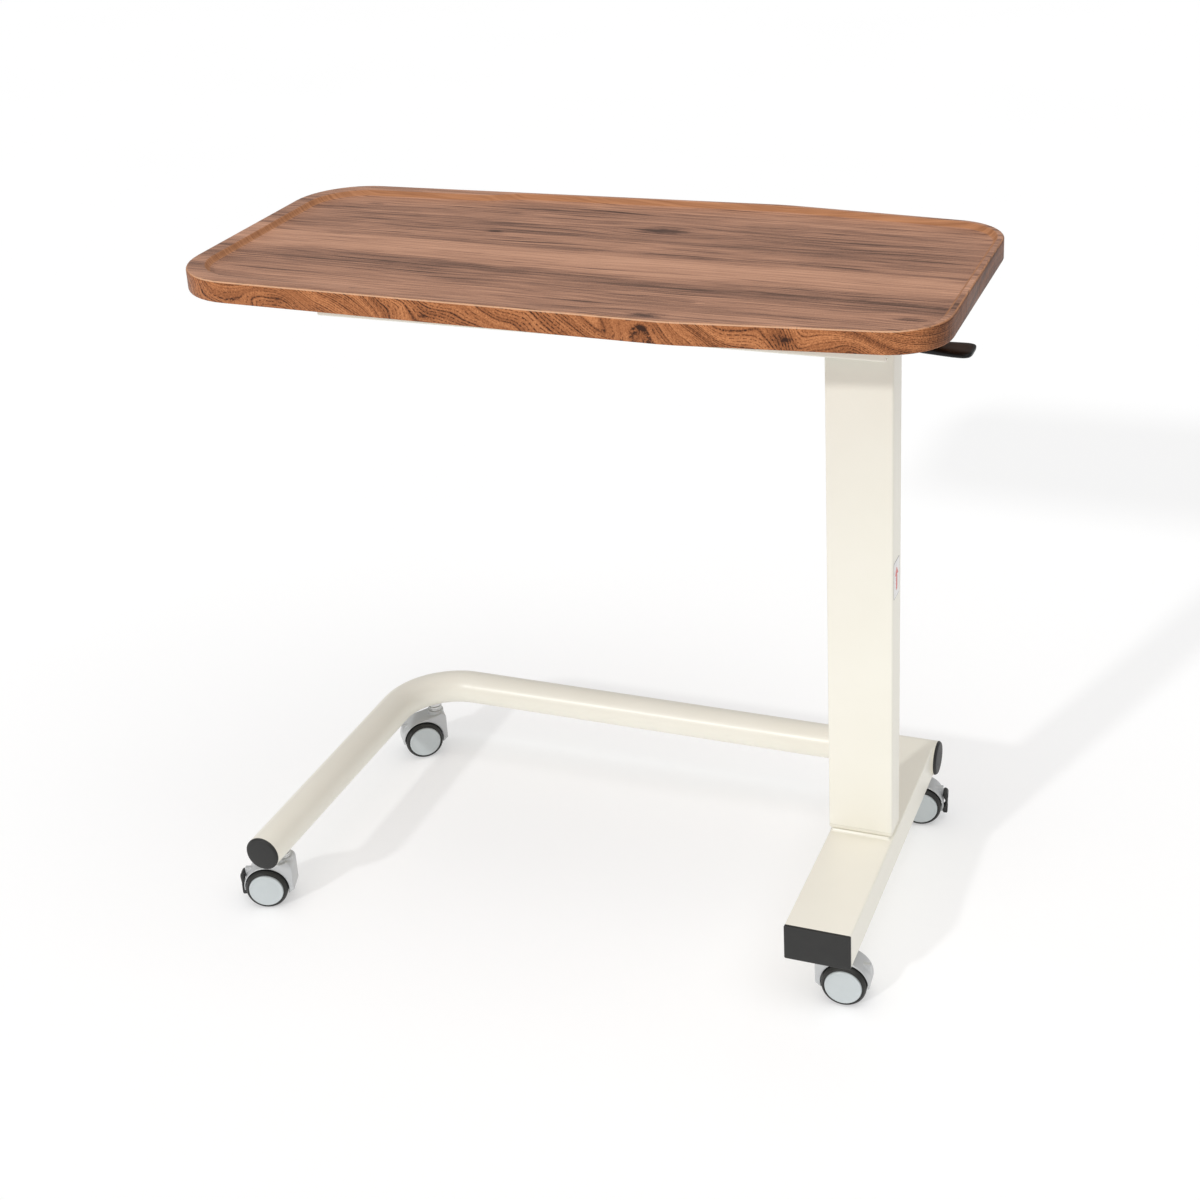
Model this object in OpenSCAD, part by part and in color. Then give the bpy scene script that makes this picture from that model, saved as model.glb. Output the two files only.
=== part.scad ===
// Overbed table: a recessed board on a side column that rises on a lockable gas spring,
// over a C-shaped base with four swivelling twin-wheel casters.
// X runs along the board, Y runs from the front of the base to the back, Z is up from the floor.

/* [Tabletop] */
// Length of the board
top_l = 800; // [700:5:900]
// Width of the board at its left end
top_w_left = 352; // [320:2:370]
// Width of the board at its widest
top_w_wide = 385; // [372:1:400]
// Width of the board at its right end
top_w_right = 336; // [320:2:370]
// Place of the widest line, from the middle of the board
wide_x = 151; // [100:5:200]
// Thickness of the board
top_t = 23; // [19:1:28]
// Height of the board's rim above the floor with the column down
top_z = 749; // [730:1:800]
// Radius of the two left corners
corner_left = 75; // [50:5:90]
// Radius of the two right corners
corner_right = 60; // [40:5:80]
// Depth of the recess in the board
recess_d = 6; // [4:0.5:8]
// Width of the rim round the left end
rim_wide = 22; // [16:1:28]
// Width of the rim round the right end
rim_thin = 10; // [8:1:14]

/* [Column] */
// Middle of the column along X
column_x = 286; // [250:2:300]
// Outer width of the sleeve
sleeve_w = 70; // [66:1:74]
// Outer depth of the sleeve
sleeve_d = 35; // [33:1:38]
// Wall of the sleeve and of the inner column
column_wall = 1.5; // [1.2:0.1:1.8]
// How far the board rises
lift = 320; // [200:10:340]
// Slack of a sliding fit, on each side
glide_gap = 0.1; // [0.05:0.01:0.15]

/* [Support channel] */
// Outer width of the channel
channel_w = 80; // [70:2:90]
// Height of the channel
channel_h = 59; // [50:1:62]
// Left end of the channel
channel_left = -302; // [-330:2:-250]
// Right end of the channel
channel_right = 318; // [312:1:320]
// Sheet that the channel is folded from
channel_t = 2; // [1.5:0.5:3]

/* [Base] */
// Height of the underside of the base
base_z = 67; // [64:1:70]
// Width of the foot beam
foot_w = 70; // [68:1:74]
// Height of the foot beam
foot_h = 40; // [38:1:40]
// Front face of the foot cap, from the column's middle
foot_front = 196; // [180:2:210]
// Diameter of the round tube
tube_d = 40; // [38:1:42]
// Wall of the round tube
tube_wall = 2; // [1.5:0.5:3]
// Middle of the tube's back run, behind the column's middle
tube_back = 190; // [170:2:200]
// Middle of the tube's left leg, from the middle of the board
leg_x = -349; // [-360:1:-330]
// Front end of the leg's cap, from the column's middle
leg_front = 218; // [200:1:220]
// Bend radius at the tube's middle line
bend_r = 75; // [60:5:100]

/* [Casters] */
// Diameter of the wheels
wheel_d = 48; // [47:1:50]
// Distance from the swivel axis to the axle
trail = 20; // [18:1:21]
// Distance of the front casters from the ends of the base
caster_inset = 43; // [38:1:60]
// How far the brake pedal's pivot is below the axle
pedal_drop = 10; // [8:1:12]

/* [Lever] */
// Height of the lever's pivot above the bracket plate
pivot_rise = 18; // [16:1:20]
// Distance from the gas spring's middle to the lever's pivot
pivot_reach = 15; // [14:1:18]
// Width of the grip at its outer end
grip_w = 36; // [28:2:38]

/* [Hidden] */
$fn = 64;
cream = [0.93, 0.91, 0.84];
walnut = [0.55, 0.34, 0.22];
dark = [0.13, 0.13, 0.13];
hood_grey = [0.72, 0.73, 0.76];
disc_grey = [0.78, 0.81, 0.82];
zinc = [0.7, 0.7, 0.7];
label_white = [0.96, 0.95, 0.95];
glide_grey = [0.3, 0.3, 0.32];

// A cut runs this far past the faces that it opens.
over = 1;
// A gap between two pieces that don't touch.
fit_gap = 0.1;
// Radial slack of a turning or sliding shaft.
run_gap = 0.05;

// Board
top_left = -top_l / 2;
top_right = top_l / 2;
board_bottom = top_z - top_t;
recess_step_start = -190;
recess_step_end = -150;
kink_r = 200;
recess_corner_left = 55;
recess_corner_right = 50;
recess_step_r = 60;

// Channel
channel_z = board_bottom - channel_h;
channel_lip = 8;
web_z = board_bottom - channel_t;
screw_rows = 3;
screw_inset = 40;
screw_pitch = 230;
screw_y = 22;
screw_shank_r = 2;
screw_head_r = 4.5;
screw_head_h = 2.5;
screw_bite = 14;

// Top bracket
plate_t = 4;
sleeve_top = channel_z + 17;
plate_top = sleeve_top + plate_t;
bracket_l = 68;
tab_t = 2.5;
tab_h = 24;
bolt_r = 3;
bolt_head_r = 5.5;
bolt_head_h = 3;
bolt_nut_h = 5;
bolt_inset = 12;
bolt_z = plate_top + 13;

// Column
base_top = base_z + foot_h;
base_plate_t = 3;
base_plate_inset = 1.5;
inner_z = base_top + base_plate_t;
trim_z = inner_z + 1.5;
trim_t = 4;
sleeve_z = trim_z + trim_t;
sleeve_r = 2.5;
glide_t = 3;
inner_w = sleeve_w - 2 * column_wall - 2 * glide_t;
inner_d = sleeve_d - 2 * column_wall - 2 * glide_t;
inner_r = 2;
inner_top = sleeve_top - 4;
glide_h = 30;

// Gas spring
gas_r = 10;
gas_bore_r = 9;
gas_z = inner_z + 25;
gas_top = 645;
gas_boss_r = 7;
gas_boss_z = inner_z + 8;
gas_pin_r = 3;
gas_pin_z = inner_z + 15;
gas_floor = 4;
guide_h = 12;
piston_z = gas_z + 6;
piston_h = 12;
rod_r = 4;
rod_top = plate_top + 8;
nut_af = 13;
nut_h = 6;
jam_h = 4;
pin_r = 1.5;
pin_top = plate_top + 13.2;
pin_l = 31;
pin_room = 4;

// Lever
pivot_x = column_x + pivot_reach;
pivot_z = plate_top + pivot_rise;
pivot_r = 3;
arm_t = 4;
arm_w = 16;
arm_rest_gap = 0.4;
arm_z = pin_top + arm_rest_gap;
arm_left = column_x - 14;
arm_boss_r = 5;
ear_t = 3;
ear_gap = 1;
ear_r = 8;
crank_x = column_x + 36;
crank_end_x = column_x + 54;
grip_z = channel_z + 5;
grip_start = column_x + 57;
grip_end = top_right - 1;
grip_t = 10;
grip_root_w = 22;
grip_root_r = 1;
grip_tip_r = 10;
arm_end = grip_start + 22;
pivot_pin_l = 26;

// Base
foot_wall = 2.5;
cap_t = 4;
foot_shift = 1;
foot_left = column_x + foot_shift - foot_w / 2;
tube_z = base_z + tube_d / 2;
tube_r = tube_d / 2;
tube_right = column_x + foot_w / 2 + 3;
plug_l = 15;
plug_wall_gap = 0.1;

// The back left stem stands on the bend's middle line, this far round from the leg.
bend_stem_angle = 48;
bend_stem_x = leg_x + bend_r * (1 - cos(bend_stem_angle));
bend_stem_y = tube_back - bend_r * (1 - sin(bend_stem_angle));

// Casters: name, place of the stem from the column's middle, and the way the wheels trail.
CASTERS = [
    ["front_right", column_x, caster_inset - foot_front, 4],
    ["front_left", leg_x, caster_inset - leg_front, -161],
    ["back_left", bend_stem_x, bend_stem_y, -142],
    ["back_right", column_x, tube_back, 10],
];
BRAKED = ["front_left", "back_right"];
wheel_r = wheel_d / 2;
wheel_in = 4;
wheel_out = 21;
disc_r = 20;
tyre_bed_r = 18;
tyre_edge = 2;
disc_set = 3;
disc_edge = 1;
disc_t = 1.5;
axle_r = 3;
axle_l = 38;
web_t = 5;
hood_w = 28;
hood_in_r = wheel_r + 1;
hood_out_r = wheel_r + 3;
hood_back = 11;
hood_r = 4;
hood_back_r = 8;
hood_shoulder = 10;
hood_top = 54;
neck_r = 9.5;
neck_top = 60;
hood_end_z = 16;
fender_end_z = 21;
stem_r = 5;
stem_z = 47;
stem_top = base_z + 16;
shoulder_r = 8.5;
socket_r = 8;
socket_z = base_z - 2;
socket_top = base_z + 20;
shoulder_gap = 0.5;
pedal_x = 48.5;
pedal_z = wheel_r - pedal_drop;
pedal_boss_r = 3;
pedal_arm_r = 3.5;
pedal_pin_r = 1.5;
pedal_cheek_gap = 0.4;
pedal_cheek_t = 2.6;
pedal_pad_w = 14;
pedal_pad_z = 28;
pedal_pad_top = 39;
pedal_out = 51;
pedal_in = 48.6;

// Label
label_w = 24;
label_h = 42;
label_t = 0.3;
label_z = 418;
label_y = -2;

// The whole part is set along Y so that its outer box is centred on the origin.
back_caster = CASTERS[3];
back_reach = back_caster[2] + (trail + wheel_r - tyre_edge) * sin(back_caster[3])
    + wheel_out * cos(back_caster[3]);
frame_y = (leg_front - back_reach) / 2;

CASTER_PIECES = ["stem", "hood", "axle", "tyre_a", "hub_a", "tyre_b", "hub_b"];

// ---- Outlines ----

function unit(v) = v / norm(v);

// The arc that rounds corner b of the path a, b, c with radius r, in n steps.
function arc_points(a, b, c, r, n) =
    let (u = unit(a - b), v = unit(c - b))
    let (half = acos(u * v) / 2)
    let (mid = b + unit(u + v) * r / sin(half))
    let (p = b + u * r / tan(half) - mid, q = b + v * r / tan(half) - mid)
    let (from = atan2(p[1], p[0]), turn = atan2(q[1], q[0]) - from)
    let (sweep = turn > 180 ? turn - 360 : turn < -180 ? turn + 360 : turn)
    [for (i = [0 : n]) mid + r * [cos(from + sweep * i / n), sin(from + sweep * i / n)]];

// A closed outline whose corners are [x, y, radius].
function rounded(corners, n = 8) =
    let (k = len(corners))
    [for (i = [0 : k - 1])
        let (a = corners[(i + k - 1) % k], b = corners[i], c = corners[(i + 1) % k])
        each arc_points([a[0], a[1]], [b[0], b[1]], [c[0], c[1]], b[2], n)];

function mirrored(corners) =
    concat(corners, [for (i = [len(corners) - 1 : -1 : 0]) [corners[i][0], -corners[i][1], corners[i][2]]]);

// Half the width of the board at x.
function half_width(x) =
    x < wide_x
    ? (top_w_left + (top_w_wide - top_w_left) * (x - top_left) / (wide_x - top_left)) / 2
    : (top_w_wide + (top_w_right - top_w_wide) * (x - wide_x) / (top_right - wide_x)) / 2;

board_corners = mirrored([
    [top_left, -half_width(top_left), corner_left],
    [wide_x, -half_width(wide_x), kink_r],
    [top_right, -half_width(top_right), corner_right],
]);

recess_corners = mirrored([
    [top_left + rim_wide, rim_wide - half_width(top_left + rim_wide), recess_corner_left],
    [recess_step_start, rim_wide - half_width(recess_step_start), recess_step_r],
    [recess_step_end, rim_thin - half_width(recess_step_end), recess_step_r],
    [wide_x, rim_thin - half_width(wide_x), kink_r],
    [top_right - rim_thin, rim_thin - half_width(top_right - rim_thin), recess_corner_right],
]);

function box_corners(w, d, r) = [
    [-w / 2, -d / 2, r],
    [w / 2, -d / 2, r],
    [w / 2, d / 2, r],
    [-w / 2, d / 2, r],
];

module tube_section(w, d, r, wall) {
    difference() {
        polygon(rounded(box_corners(w, d, r)));
        polygon(rounded(box_corners(w - 2 * wall, d - 2 * wall, max(r - wall, wall / 2))));
    }
}

module at_column(z = 0) {
    translate([column_x, 0, z]) children();
}

// Turns a piece drawn along Z so that it runs along Y, from -l/2 to l/2.
module along_y(l) {
    rotate([90, 0, 0]) translate([0, 0, -l / 2]) children();
}

// ---- Board and what carries it ----

module screw_places() {
    for (i = [0 : screw_rows - 1])
        for (side = [-1, 1])
            translate([channel_left + screw_inset + i * screw_pitch, side * screw_y, web_z]) children();
}

module tabletop() {
    color(walnut)
    difference() {
        translate([0, 0, board_bottom]) linear_extrude(top_t) polygon(rounded(board_corners));
        translate([0, 0, top_z - recess_d])
            linear_extrude(recess_d + over) polygon(rounded(recess_corners));
        screw_places() cylinder(h = screw_bite + channel_t + fit_gap, r = screw_shank_r + fit_gap);
    }
}

module tabletop_screws() {
    color(zinc)
    screw_places() {
        translate([0, 0, -screw_head_h]) cylinder(h = screw_head_h, r = screw_head_r);
        cylinder(h = screw_bite + channel_t, r = screw_shank_r);
    }
}

module channel_section() {
    half = channel_w / 2;
    for (side = [-1, 1]) {
        translate([side * (half - channel_t / 2), channel_h / 2])
            square([channel_t, channel_h], center = true);
        translate([side * (half - channel_lip / 2), channel_t / 2])
            square([channel_lip, channel_t], center = true);
    }
    translate([0, channel_h - channel_t / 2]) square([channel_w, channel_t], center = true);
}

module bolt_places() {
    for (x = [column_x - bracket_l / 2 + bolt_inset, column_x + bracket_l / 2 - bolt_inset])
        for (side = [-1, 1])
            translate([x, side * channel_w / 2, bolt_z]) rotate([side * 90, 0, 0]) children();
}

module support_channel() {
    color(cream)
    difference() {
        translate([channel_left, 0, channel_z])
            rotate([90, 0, 90]) linear_extrude(channel_right - channel_left) channel_section();
        screw_places() translate([0, 0, -over])
            cylinder(h = channel_t + 2 * over, r = screw_shank_r + fit_gap);
        bolt_places() translate([0, 0, -over]) cylinder(h = channel_t + 2 * over, r = bolt_r + fit_gap);
    }
}

module top_bracket() {
    inner = channel_w / 2 - channel_t;
    ear_y = arm_w / 2 + ear_gap;
    color(cream)
    difference() {
        union() {
            translate([column_x - bracket_l / 2, -inner, sleeve_top]) cube([bracket_l, 2 * inner, plate_t]);
            for (side = [-1, 1]) {
                translate([column_x, side * (inner - tab_t / 2), plate_top + tab_h / 2])
                    cube([bracket_l, tab_t, tab_h], center = true);
                translate([pivot_x, side * (ear_y + ear_t / 2), 0]) {
                    translate([0, 0, (plate_top + pivot_z) / 2])
                        cube([2 * ear_r, ear_t, pivot_z - plate_top], center = true);
                    translate([0, 0, pivot_z]) along_y(ear_t) cylinder(h = ear_t, r = ear_r);
                }
            }
        }
        at_column(sleeve_top - over) cylinder(h = plate_t + 2 * over, r = rod_r + fit_gap);
        translate([pivot_x, 0, pivot_z]) along_y(channel_w) cylinder(h = channel_w, r = pivot_r + fit_gap);
        bolt_places() cylinder(h = channel_t + tab_t + over, r = bolt_r + fit_gap);
    }
}

module bracket_bolts() {
    color(zinc)
    bolt_places() {
        translate([0, 0, -bolt_head_h]) cylinder(h = bolt_head_h, r = bolt_head_r);
        cylinder(h = channel_t + tab_t + bolt_nut_h, r = bolt_r);
        translate([0, 0, channel_t + tab_t]) cylinder(h = bolt_nut_h, r = bolt_head_r, $fn = 6);
    }
}

module column_sleeve() {
    color(cream)
    at_column(sleeve_z) linear_extrude(sleeve_top - sleeve_z)
        tube_section(sleeve_w, sleeve_d, sleeve_r, column_wall);
}

module sleeve_end_bush() {
    color(cream)
    difference() {
        union() {
            at_column(trim_z) linear_extrude(trim_t)
                polygon(rounded(box_corners(sleeve_w, sleeve_d, sleeve_r)));
            at_column(sleeve_z) linear_extrude(glide_h)
                polygon(rounded(box_corners(
                    inner_w + 2 * glide_t, inner_d + 2 * glide_t, sleeve_r - column_wall)));
        }
        at_column(trim_z - over) linear_extrude(trim_t + glide_h + 2 * over)
            polygon(rounded(box_corners(inner_w + 2 * glide_gap, inner_d + 2 * glide_gap, inner_r)));
    }
}

module inner_column() {
    color(cream)
    difference() {
        at_column(inner_z) linear_extrude(inner_top - inner_z)
            tube_section(inner_w, inner_d, inner_r, column_wall);
        at_column(gas_pin_z) along_y(sleeve_d) cylinder(h = sleeve_d, r = gas_pin_r + run_gap);
    }
}

module upper_glides() {
    color(glide_grey)
    at_column(inner_top - glide_h) linear_extrude(glide_h)
        difference() {
            polygon(rounded(box_corners(
                inner_w + 2 * (glide_t - glide_gap),
                inner_d + 2 * (glide_t - glide_gap),
                sleeve_r - column_wall)));
            polygon(rounded(box_corners(inner_w, inner_d, inner_r)));
        }
}

module base_plate() {
    color(cream)
    at_column(base_top) linear_extrude(base_plate_t)
        polygon(rounded(box_corners(
            sleeve_w - 2 * base_plate_inset, sleeve_d - 2 * base_plate_inset, sleeve_r)));
}

// ---- Gas spring ----

module gas_cylinder() {
    color(dark)
    difference() {
        union() {
            at_column(gas_z) cylinder(h = gas_top - gas_z, r = gas_r);
            at_column(gas_boss_z) cylinder(h = gas_z - gas_boss_z, r = gas_boss_r);
        }
        at_column(gas_z + gas_floor) cylinder(h = gas_top - gas_z, r = gas_bore_r);
        at_column(gas_pin_z) along_y(sleeve_d) cylinder(h = sleeve_d, r = gas_pin_r + run_gap);
    }
}

module gas_guide() {
    color(glide_grey)
    difference() {
        at_column(gas_top - guide_h) cylinder(h = guide_h, r = gas_bore_r - run_gap);
        at_column(gas_top - guide_h - over) cylinder(h = guide_h + 2 * over, r = rod_r + run_gap);
    }
}

module gas_foot_pin() {
    color(zinc)
    at_column(gas_pin_z) along_y(inner_d) cylinder(h = inner_d, r = gas_pin_r);
}

module gas_rod() {
    color(zinc)
    difference() {
        at_column(piston_z) cylinder(h = rod_top - piston_z, r = rod_r);
        at_column(pin_top - pin_l - pin_room) cylinder(h = pin_l + pin_room, r = pin_r + run_gap);
    }
}

module gas_piston() {
    color(dark)
    difference() {
        at_column(piston_z) cylinder(h = piston_h, r = gas_bore_r - run_gap);
        at_column(piston_z - over) cylinder(h = piston_h + 2 * over, r = rod_r + run_gap);
    }
}

module rod_nuts() {
    color(zinc)
    for (span = [[plate_top, nut_h], [sleeve_top - jam_h, jam_h]])
        at_column(span[0]) difference() {
            cylinder(h = span[1], r = nut_af / 2 / cos(30), $fn = 6);
            translate([0, 0, -over]) cylinder(h = span[1] + 2 * over, r = rod_r + run_gap);
        }
}

module release_pin() {
    color(zinc)
    at_column(pin_top - pin_l) cylinder(h = pin_l, r = pin_r);
}

// ---- Lever ----

module lever_arm() {
    slope = (arm_z - grip_z) / (crank_end_x - crank_x);
    color(zinc)
    difference() {
        union() {
            along_y(arm_w) linear_extrude(arm_w)
                polygon([
                    [arm_left, arm_z],
                    [crank_x, arm_z],
                    [crank_end_x, grip_z - arm_t / 2],
                    [arm_end, grip_z - arm_t / 2],
                    [arm_end, grip_z + arm_t / 2],
                    [crank_end_x + arm_t / slope, grip_z + arm_t / 2],
                    [crank_x + arm_t / slope, arm_z + arm_t],
                    [arm_left, arm_z + arm_t],
                ]);
            translate([pivot_x, 0, pivot_z]) along_y(arm_w) cylinder(h = arm_w, r = arm_boss_r);
        }
        translate([pivot_x, 0, pivot_z]) along_y(channel_w) cylinder(h = channel_w, r = pivot_r + run_gap);
    }
}

module lever_grip() {
    color(dark)
    difference() {
        translate([0, 0, grip_z - grip_t / 2]) linear_extrude(grip_t)
            polygon(rounded([
                [grip_start, -grip_root_w / 2, grip_root_r],
                [grip_end, -grip_w / 2, grip_tip_r],
                [grip_end, grip_w / 2, grip_tip_r],
                [grip_start, grip_root_w / 2, grip_root_r],
            ]));
        translate([grip_start - over, -arm_w / 2 - fit_gap, grip_z - arm_t / 2 - fit_gap])
            cube([arm_end + fit_gap - grip_start + over, arm_w + 2 * fit_gap, arm_t + 2 * fit_gap]);
    }
}

module lever_pivot_pin() {
    color(zinc)
    translate([pivot_x, 0, pivot_z]) along_y(pivot_pin_l) cylinder(h = pivot_pin_l, r = pivot_r);
}

module arrow_label() {
    color(label_white)
    translate([column_x + sleeve_w / 2, label_y - label_w / 2, label_z - label_h / 2])
        cube([label_t, label_w, label_h]);
}

// ---- Base ----

module foot_beam() {
    front = cap_t - foot_front;
    length = tube_back - front;
    color(cream)
    difference() {
        translate([foot_left, front, base_z]) cube([foot_w, length, foot_h]);
        translate([foot_left + foot_wall, front - over, base_z + foot_wall])
            cube([foot_w - 2 * foot_wall, length + 2 * over, foot_h - 2 * foot_wall]);
        translate([foot_left - over, tube_back, tube_z]) rotate([0, 90, 0])
            cylinder(h = foot_w + 2 * over, r = tube_r + run_gap);
        socket_places() cylinder(h = socket_top - socket_z, r = socket_r + run_gap);
    }
}

module foot_cap() {
    color(dark) {
        translate([foot_left, -foot_front, base_z]) cube([foot_w, cap_t, foot_h]);
        translate([
            foot_left + foot_wall + plug_wall_gap, cap_t - foot_front, base_z + foot_wall + plug_wall_gap
        ])
            cube([
                foot_w - 2 * (foot_wall + plug_wall_gap),
                plug_l,
                foot_h - 2 * (foot_wall + plug_wall_gap),
            ]);
    }
}

module ring(h) {
    difference() {
        cylinder(h = h, r = tube_r);
        translate([0, 0, -over]) cylinder(h = h + 2 * over, r = tube_r - tube_wall);
    }
}

module base_tube() {
    back_start = leg_x + bend_r;
    leg_l = tube_back - bend_r + leg_front - cap_t;
    color(cream)
    difference() {
        union() {
            translate([back_start, tube_back, tube_z]) rotate([0, 90, 0]) ring(tube_right - back_start);
            translate([back_start, tube_back - bend_r, tube_z]) rotate([0, 0, 90])
                rotate_extrude(angle = 90) translate([bend_r, 0]) difference() {
                    circle(r = tube_r);
                    circle(r = tube_r - tube_wall);
                }
            translate([leg_x, tube_back - bend_r, tube_z]) rotate([90, 0, 0]) ring(leg_l);
        }
        socket_places() cylinder(h = socket_top - socket_z, r = socket_r + run_gap);
    }
}

module tube_plug() {
    cylinder(h = cap_t, r = tube_r);
    translate([0, 0, -plug_l]) cylinder(h = plug_l, r = tube_r - tube_wall - plug_wall_gap);
}

module tube_cap_front() {
    color(dark) translate([leg_x, cap_t - leg_front, tube_z]) rotate([90, 0, 0]) tube_plug();
}

module tube_cap_rear() {
    color(dark) translate([tube_right, tube_back, tube_z]) rotate([0, 90, 0]) tube_plug();
}

module socket_places() {
    for (c = CASTERS) translate([c[1], c[2], socket_z]) children();
}

module caster_sockets() {
    color(zinc)
    socket_places() difference() {
        cylinder(h = socket_top - socket_z, r = socket_r);
        translate([0, 0, -over]) cylinder(h = socket_top - socket_z + 2 * over, r = stem_r + run_gap);
    }
}

// ---- Casters, drawn with the stem on the origin and the wheels trailing towards +X ----

module caster_stem() {
    color(zinc) {
        translate([0, 0, stem_z]) cylinder(h = stem_top - stem_z, r = stem_r);
        translate([0, 0, neck_top]) cylinder(h = socket_z - shoulder_gap - neck_top, r = shoulder_r);
    }
}

module hood_profile() {
    difference() {
        union() {
            translate([trail, wheel_r]) circle(r = hood_out_r);
            polygon(rounded([
                [-hood_back, hood_end_z, hood_r],
                [trail, hood_end_z, hood_r],
                [trail, hood_top - hood_shoulder, hood_r],
                [neck_r, hood_top, hood_r],
                [-hood_back, hood_top, hood_back_r],
            ]));
        }
        translate([trail, wheel_r]) circle(r = hood_in_r);
        translate([-hood_back - over, -hood_out_r])
            square([trail + hood_back + wheel_d, hood_end_z + hood_out_r]);
        translate([trail, -hood_out_r]) square([wheel_d, fender_end_z + hood_out_r]);
    }
}

module web_profile(braked) {
    translate([trail, wheel_r]) circle(r = hood_in_r - wheel_in);
    translate([trail - hood_in_r, wheel_r]) square([2 * hood_in_r, hood_in_r / 2]);
    if (braked) {
        polygon([
            [trail + wheel_r / 2, wheel_r + pedal_arm_r],
            [trail + wheel_r / 2, pedal_z - pedal_arm_r],
            [pedal_x, pedal_z - pedal_arm_r],
            [pedal_x, pedal_z + pedal_arm_r],
        ]);
        translate([pedal_x, pedal_z]) circle(r = pedal_arm_r);
    }
}

module caster_hood(braked) {
    color(hood_grey)
    difference() {
        union() {
            along_y(hood_w) linear_extrude(hood_w) hood_profile();
            along_y(web_t) linear_extrude(web_t) intersection() {
                web_profile(braked);
                translate([-hood_back, over]) square([pedal_out + hood_back, hood_top]);
            }
            translate([0, 0, hood_top - over]) cylinder(h = neck_top - hood_top + over, r = neck_r);
        }
        translate([0, 0, stem_z]) cylinder(h = neck_top, r = stem_r + run_gap);
        translate([trail, 0, wheel_r]) along_y(hood_w) cylinder(h = hood_w, r = axle_r + run_gap);
        if (braked)
            translate([pedal_x, 0, pedal_z]) along_y(hood_w)
                cylinder(h = hood_w, r = pedal_pin_r + run_gap);
    }
}

module caster_axle() {
    color(zinc) translate([trail, 0, wheel_r]) along_y(axle_l) cylinder(h = axle_l, r = axle_r);
}

// A wheel's inner face is at wheel_in and its outer face at wheel_out on the given side.
module on_wheel(side) {
    translate([trail, side * wheel_in, wheel_r]) rotate([-side * 90, 0, 0]) children();
}

module tyre(side) {
    w = wheel_out - wheel_in;
    color(dark) on_wheel(side) rotate_extrude() polygon([
        [tyre_bed_r, 0],
        [wheel_r - tyre_edge, 0],
        [wheel_r, tyre_edge],
        [wheel_r, w - tyre_edge],
        [wheel_r - tyre_edge, w],
        [disc_r, w],
        [disc_r, w - disc_set],
        [tyre_bed_r, w - disc_set],
    ]);
}

module hub(side) {
    w = wheel_out - wheel_in;
    color(disc_grey) on_wheel(side) rotate_extrude() polygon([
        [axle_r + run_gap, 0],
        [tyre_bed_r - run_gap, 0],
        [tyre_bed_r - run_gap, w - disc_set + run_gap],
        [disc_r - run_gap, w - disc_set + run_gap],
        [disc_r - run_gap, w - disc_edge],
        [disc_r - disc_set, w],
        [0, w],
        [0, w - disc_t],
        [axle_r + run_gap, w - disc_t],
    ]);
}

module brake_pedal() {
    cheek_in = web_t / 2 + pedal_cheek_gap;
    color(dark)
    difference() {
        union() {
            for (side = [-1, 1])
                translate([0, side * (cheek_in + pedal_cheek_t / 2), 0]) along_y(pedal_cheek_t)
                    linear_extrude(pedal_cheek_t) union() {
                        translate([pedal_x, pedal_z]) circle(r = pedal_boss_r);
                        polygon([
                            [pedal_x, pedal_z - pedal_boss_r],
                            [pedal_out, pedal_z],
                            [pedal_out, pedal_pad_z],
                            [pedal_in, pedal_pad_z],
                            [pedal_in, pedal_z],
                        ]);
                    }
            translate([pedal_in, -pedal_pad_w / 2, pedal_pad_z])
                cube([pedal_out - pedal_in, pedal_pad_w, pedal_pad_top - pedal_pad_z]);
        }
        translate([pedal_x, 0, pedal_z]) along_y(hood_w) cylinder(h = hood_w, r = pedal_pin_r + run_gap);
    }
}

module pedal_pin() {
    length = web_t + 2 * (pedal_cheek_gap + pedal_cheek_t);
    color(zinc) translate([pedal_x, 0, pedal_z]) along_y(length) cylinder(h = length, r = pedal_pin_r);
}

module caster_piece(c, piece) {
    braked = len([for (b = BRAKED) if (b == c[0]) b]) > 0;
    translate([c[1], c[2], 0]) rotate([0, 0, c[3]]) {
        if (piece == "stem") caster_stem();
        if (piece == "hood") caster_hood(braked);
        if (piece == "axle") caster_axle();
        if (piece == "tyre_a") tyre(-1);
        if (piece == "hub_a") hub(-1);
        if (piece == "tyre_b") tyre(1);
        if (piece == "hub_b") hub(1);
        if (piece == "pedal") brake_pedal();
        if (piece == "pedal_pin") pedal_pin();
    }
}

// ---- The nodes ----

translate([0, frame_y, 0]) {
    tabletop();
    tabletop_screws();
    support_channel();
    top_bracket();
    bracket_bolts();
    column_sleeve();
    sleeve_end_bush();
    inner_column();
    upper_glides();
    base_plate();
    gas_cylinder();
    gas_guide();
    gas_foot_pin();
    gas_rod();
    gas_piston();
    rod_nuts();
    release_pin();
    lever_arm();
    lever_grip();
    lever_pivot_pin();
    arrow_label();
    foot_beam();
    foot_cap();
    base_tube();
    tube_cap_front();
    tube_cap_rear();
    caster_sockets();
    for (c = CASTERS) for (p = CASTER_PIECES)
        caster_piece(c, p);
    for (c = CASTERS) for (b = BRAKED) if (b == c[0]) for (p = ["pedal", "pedal_pin"])
        caster_piece(c, p);
}
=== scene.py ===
"""The visual model of the overbed table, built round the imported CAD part.

Lengths in shapes are millimetres. Materials, lights and the camera are in metres.
"""

import math

import bmesh
import bpy
from mathutils import Matrix, Vector


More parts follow.
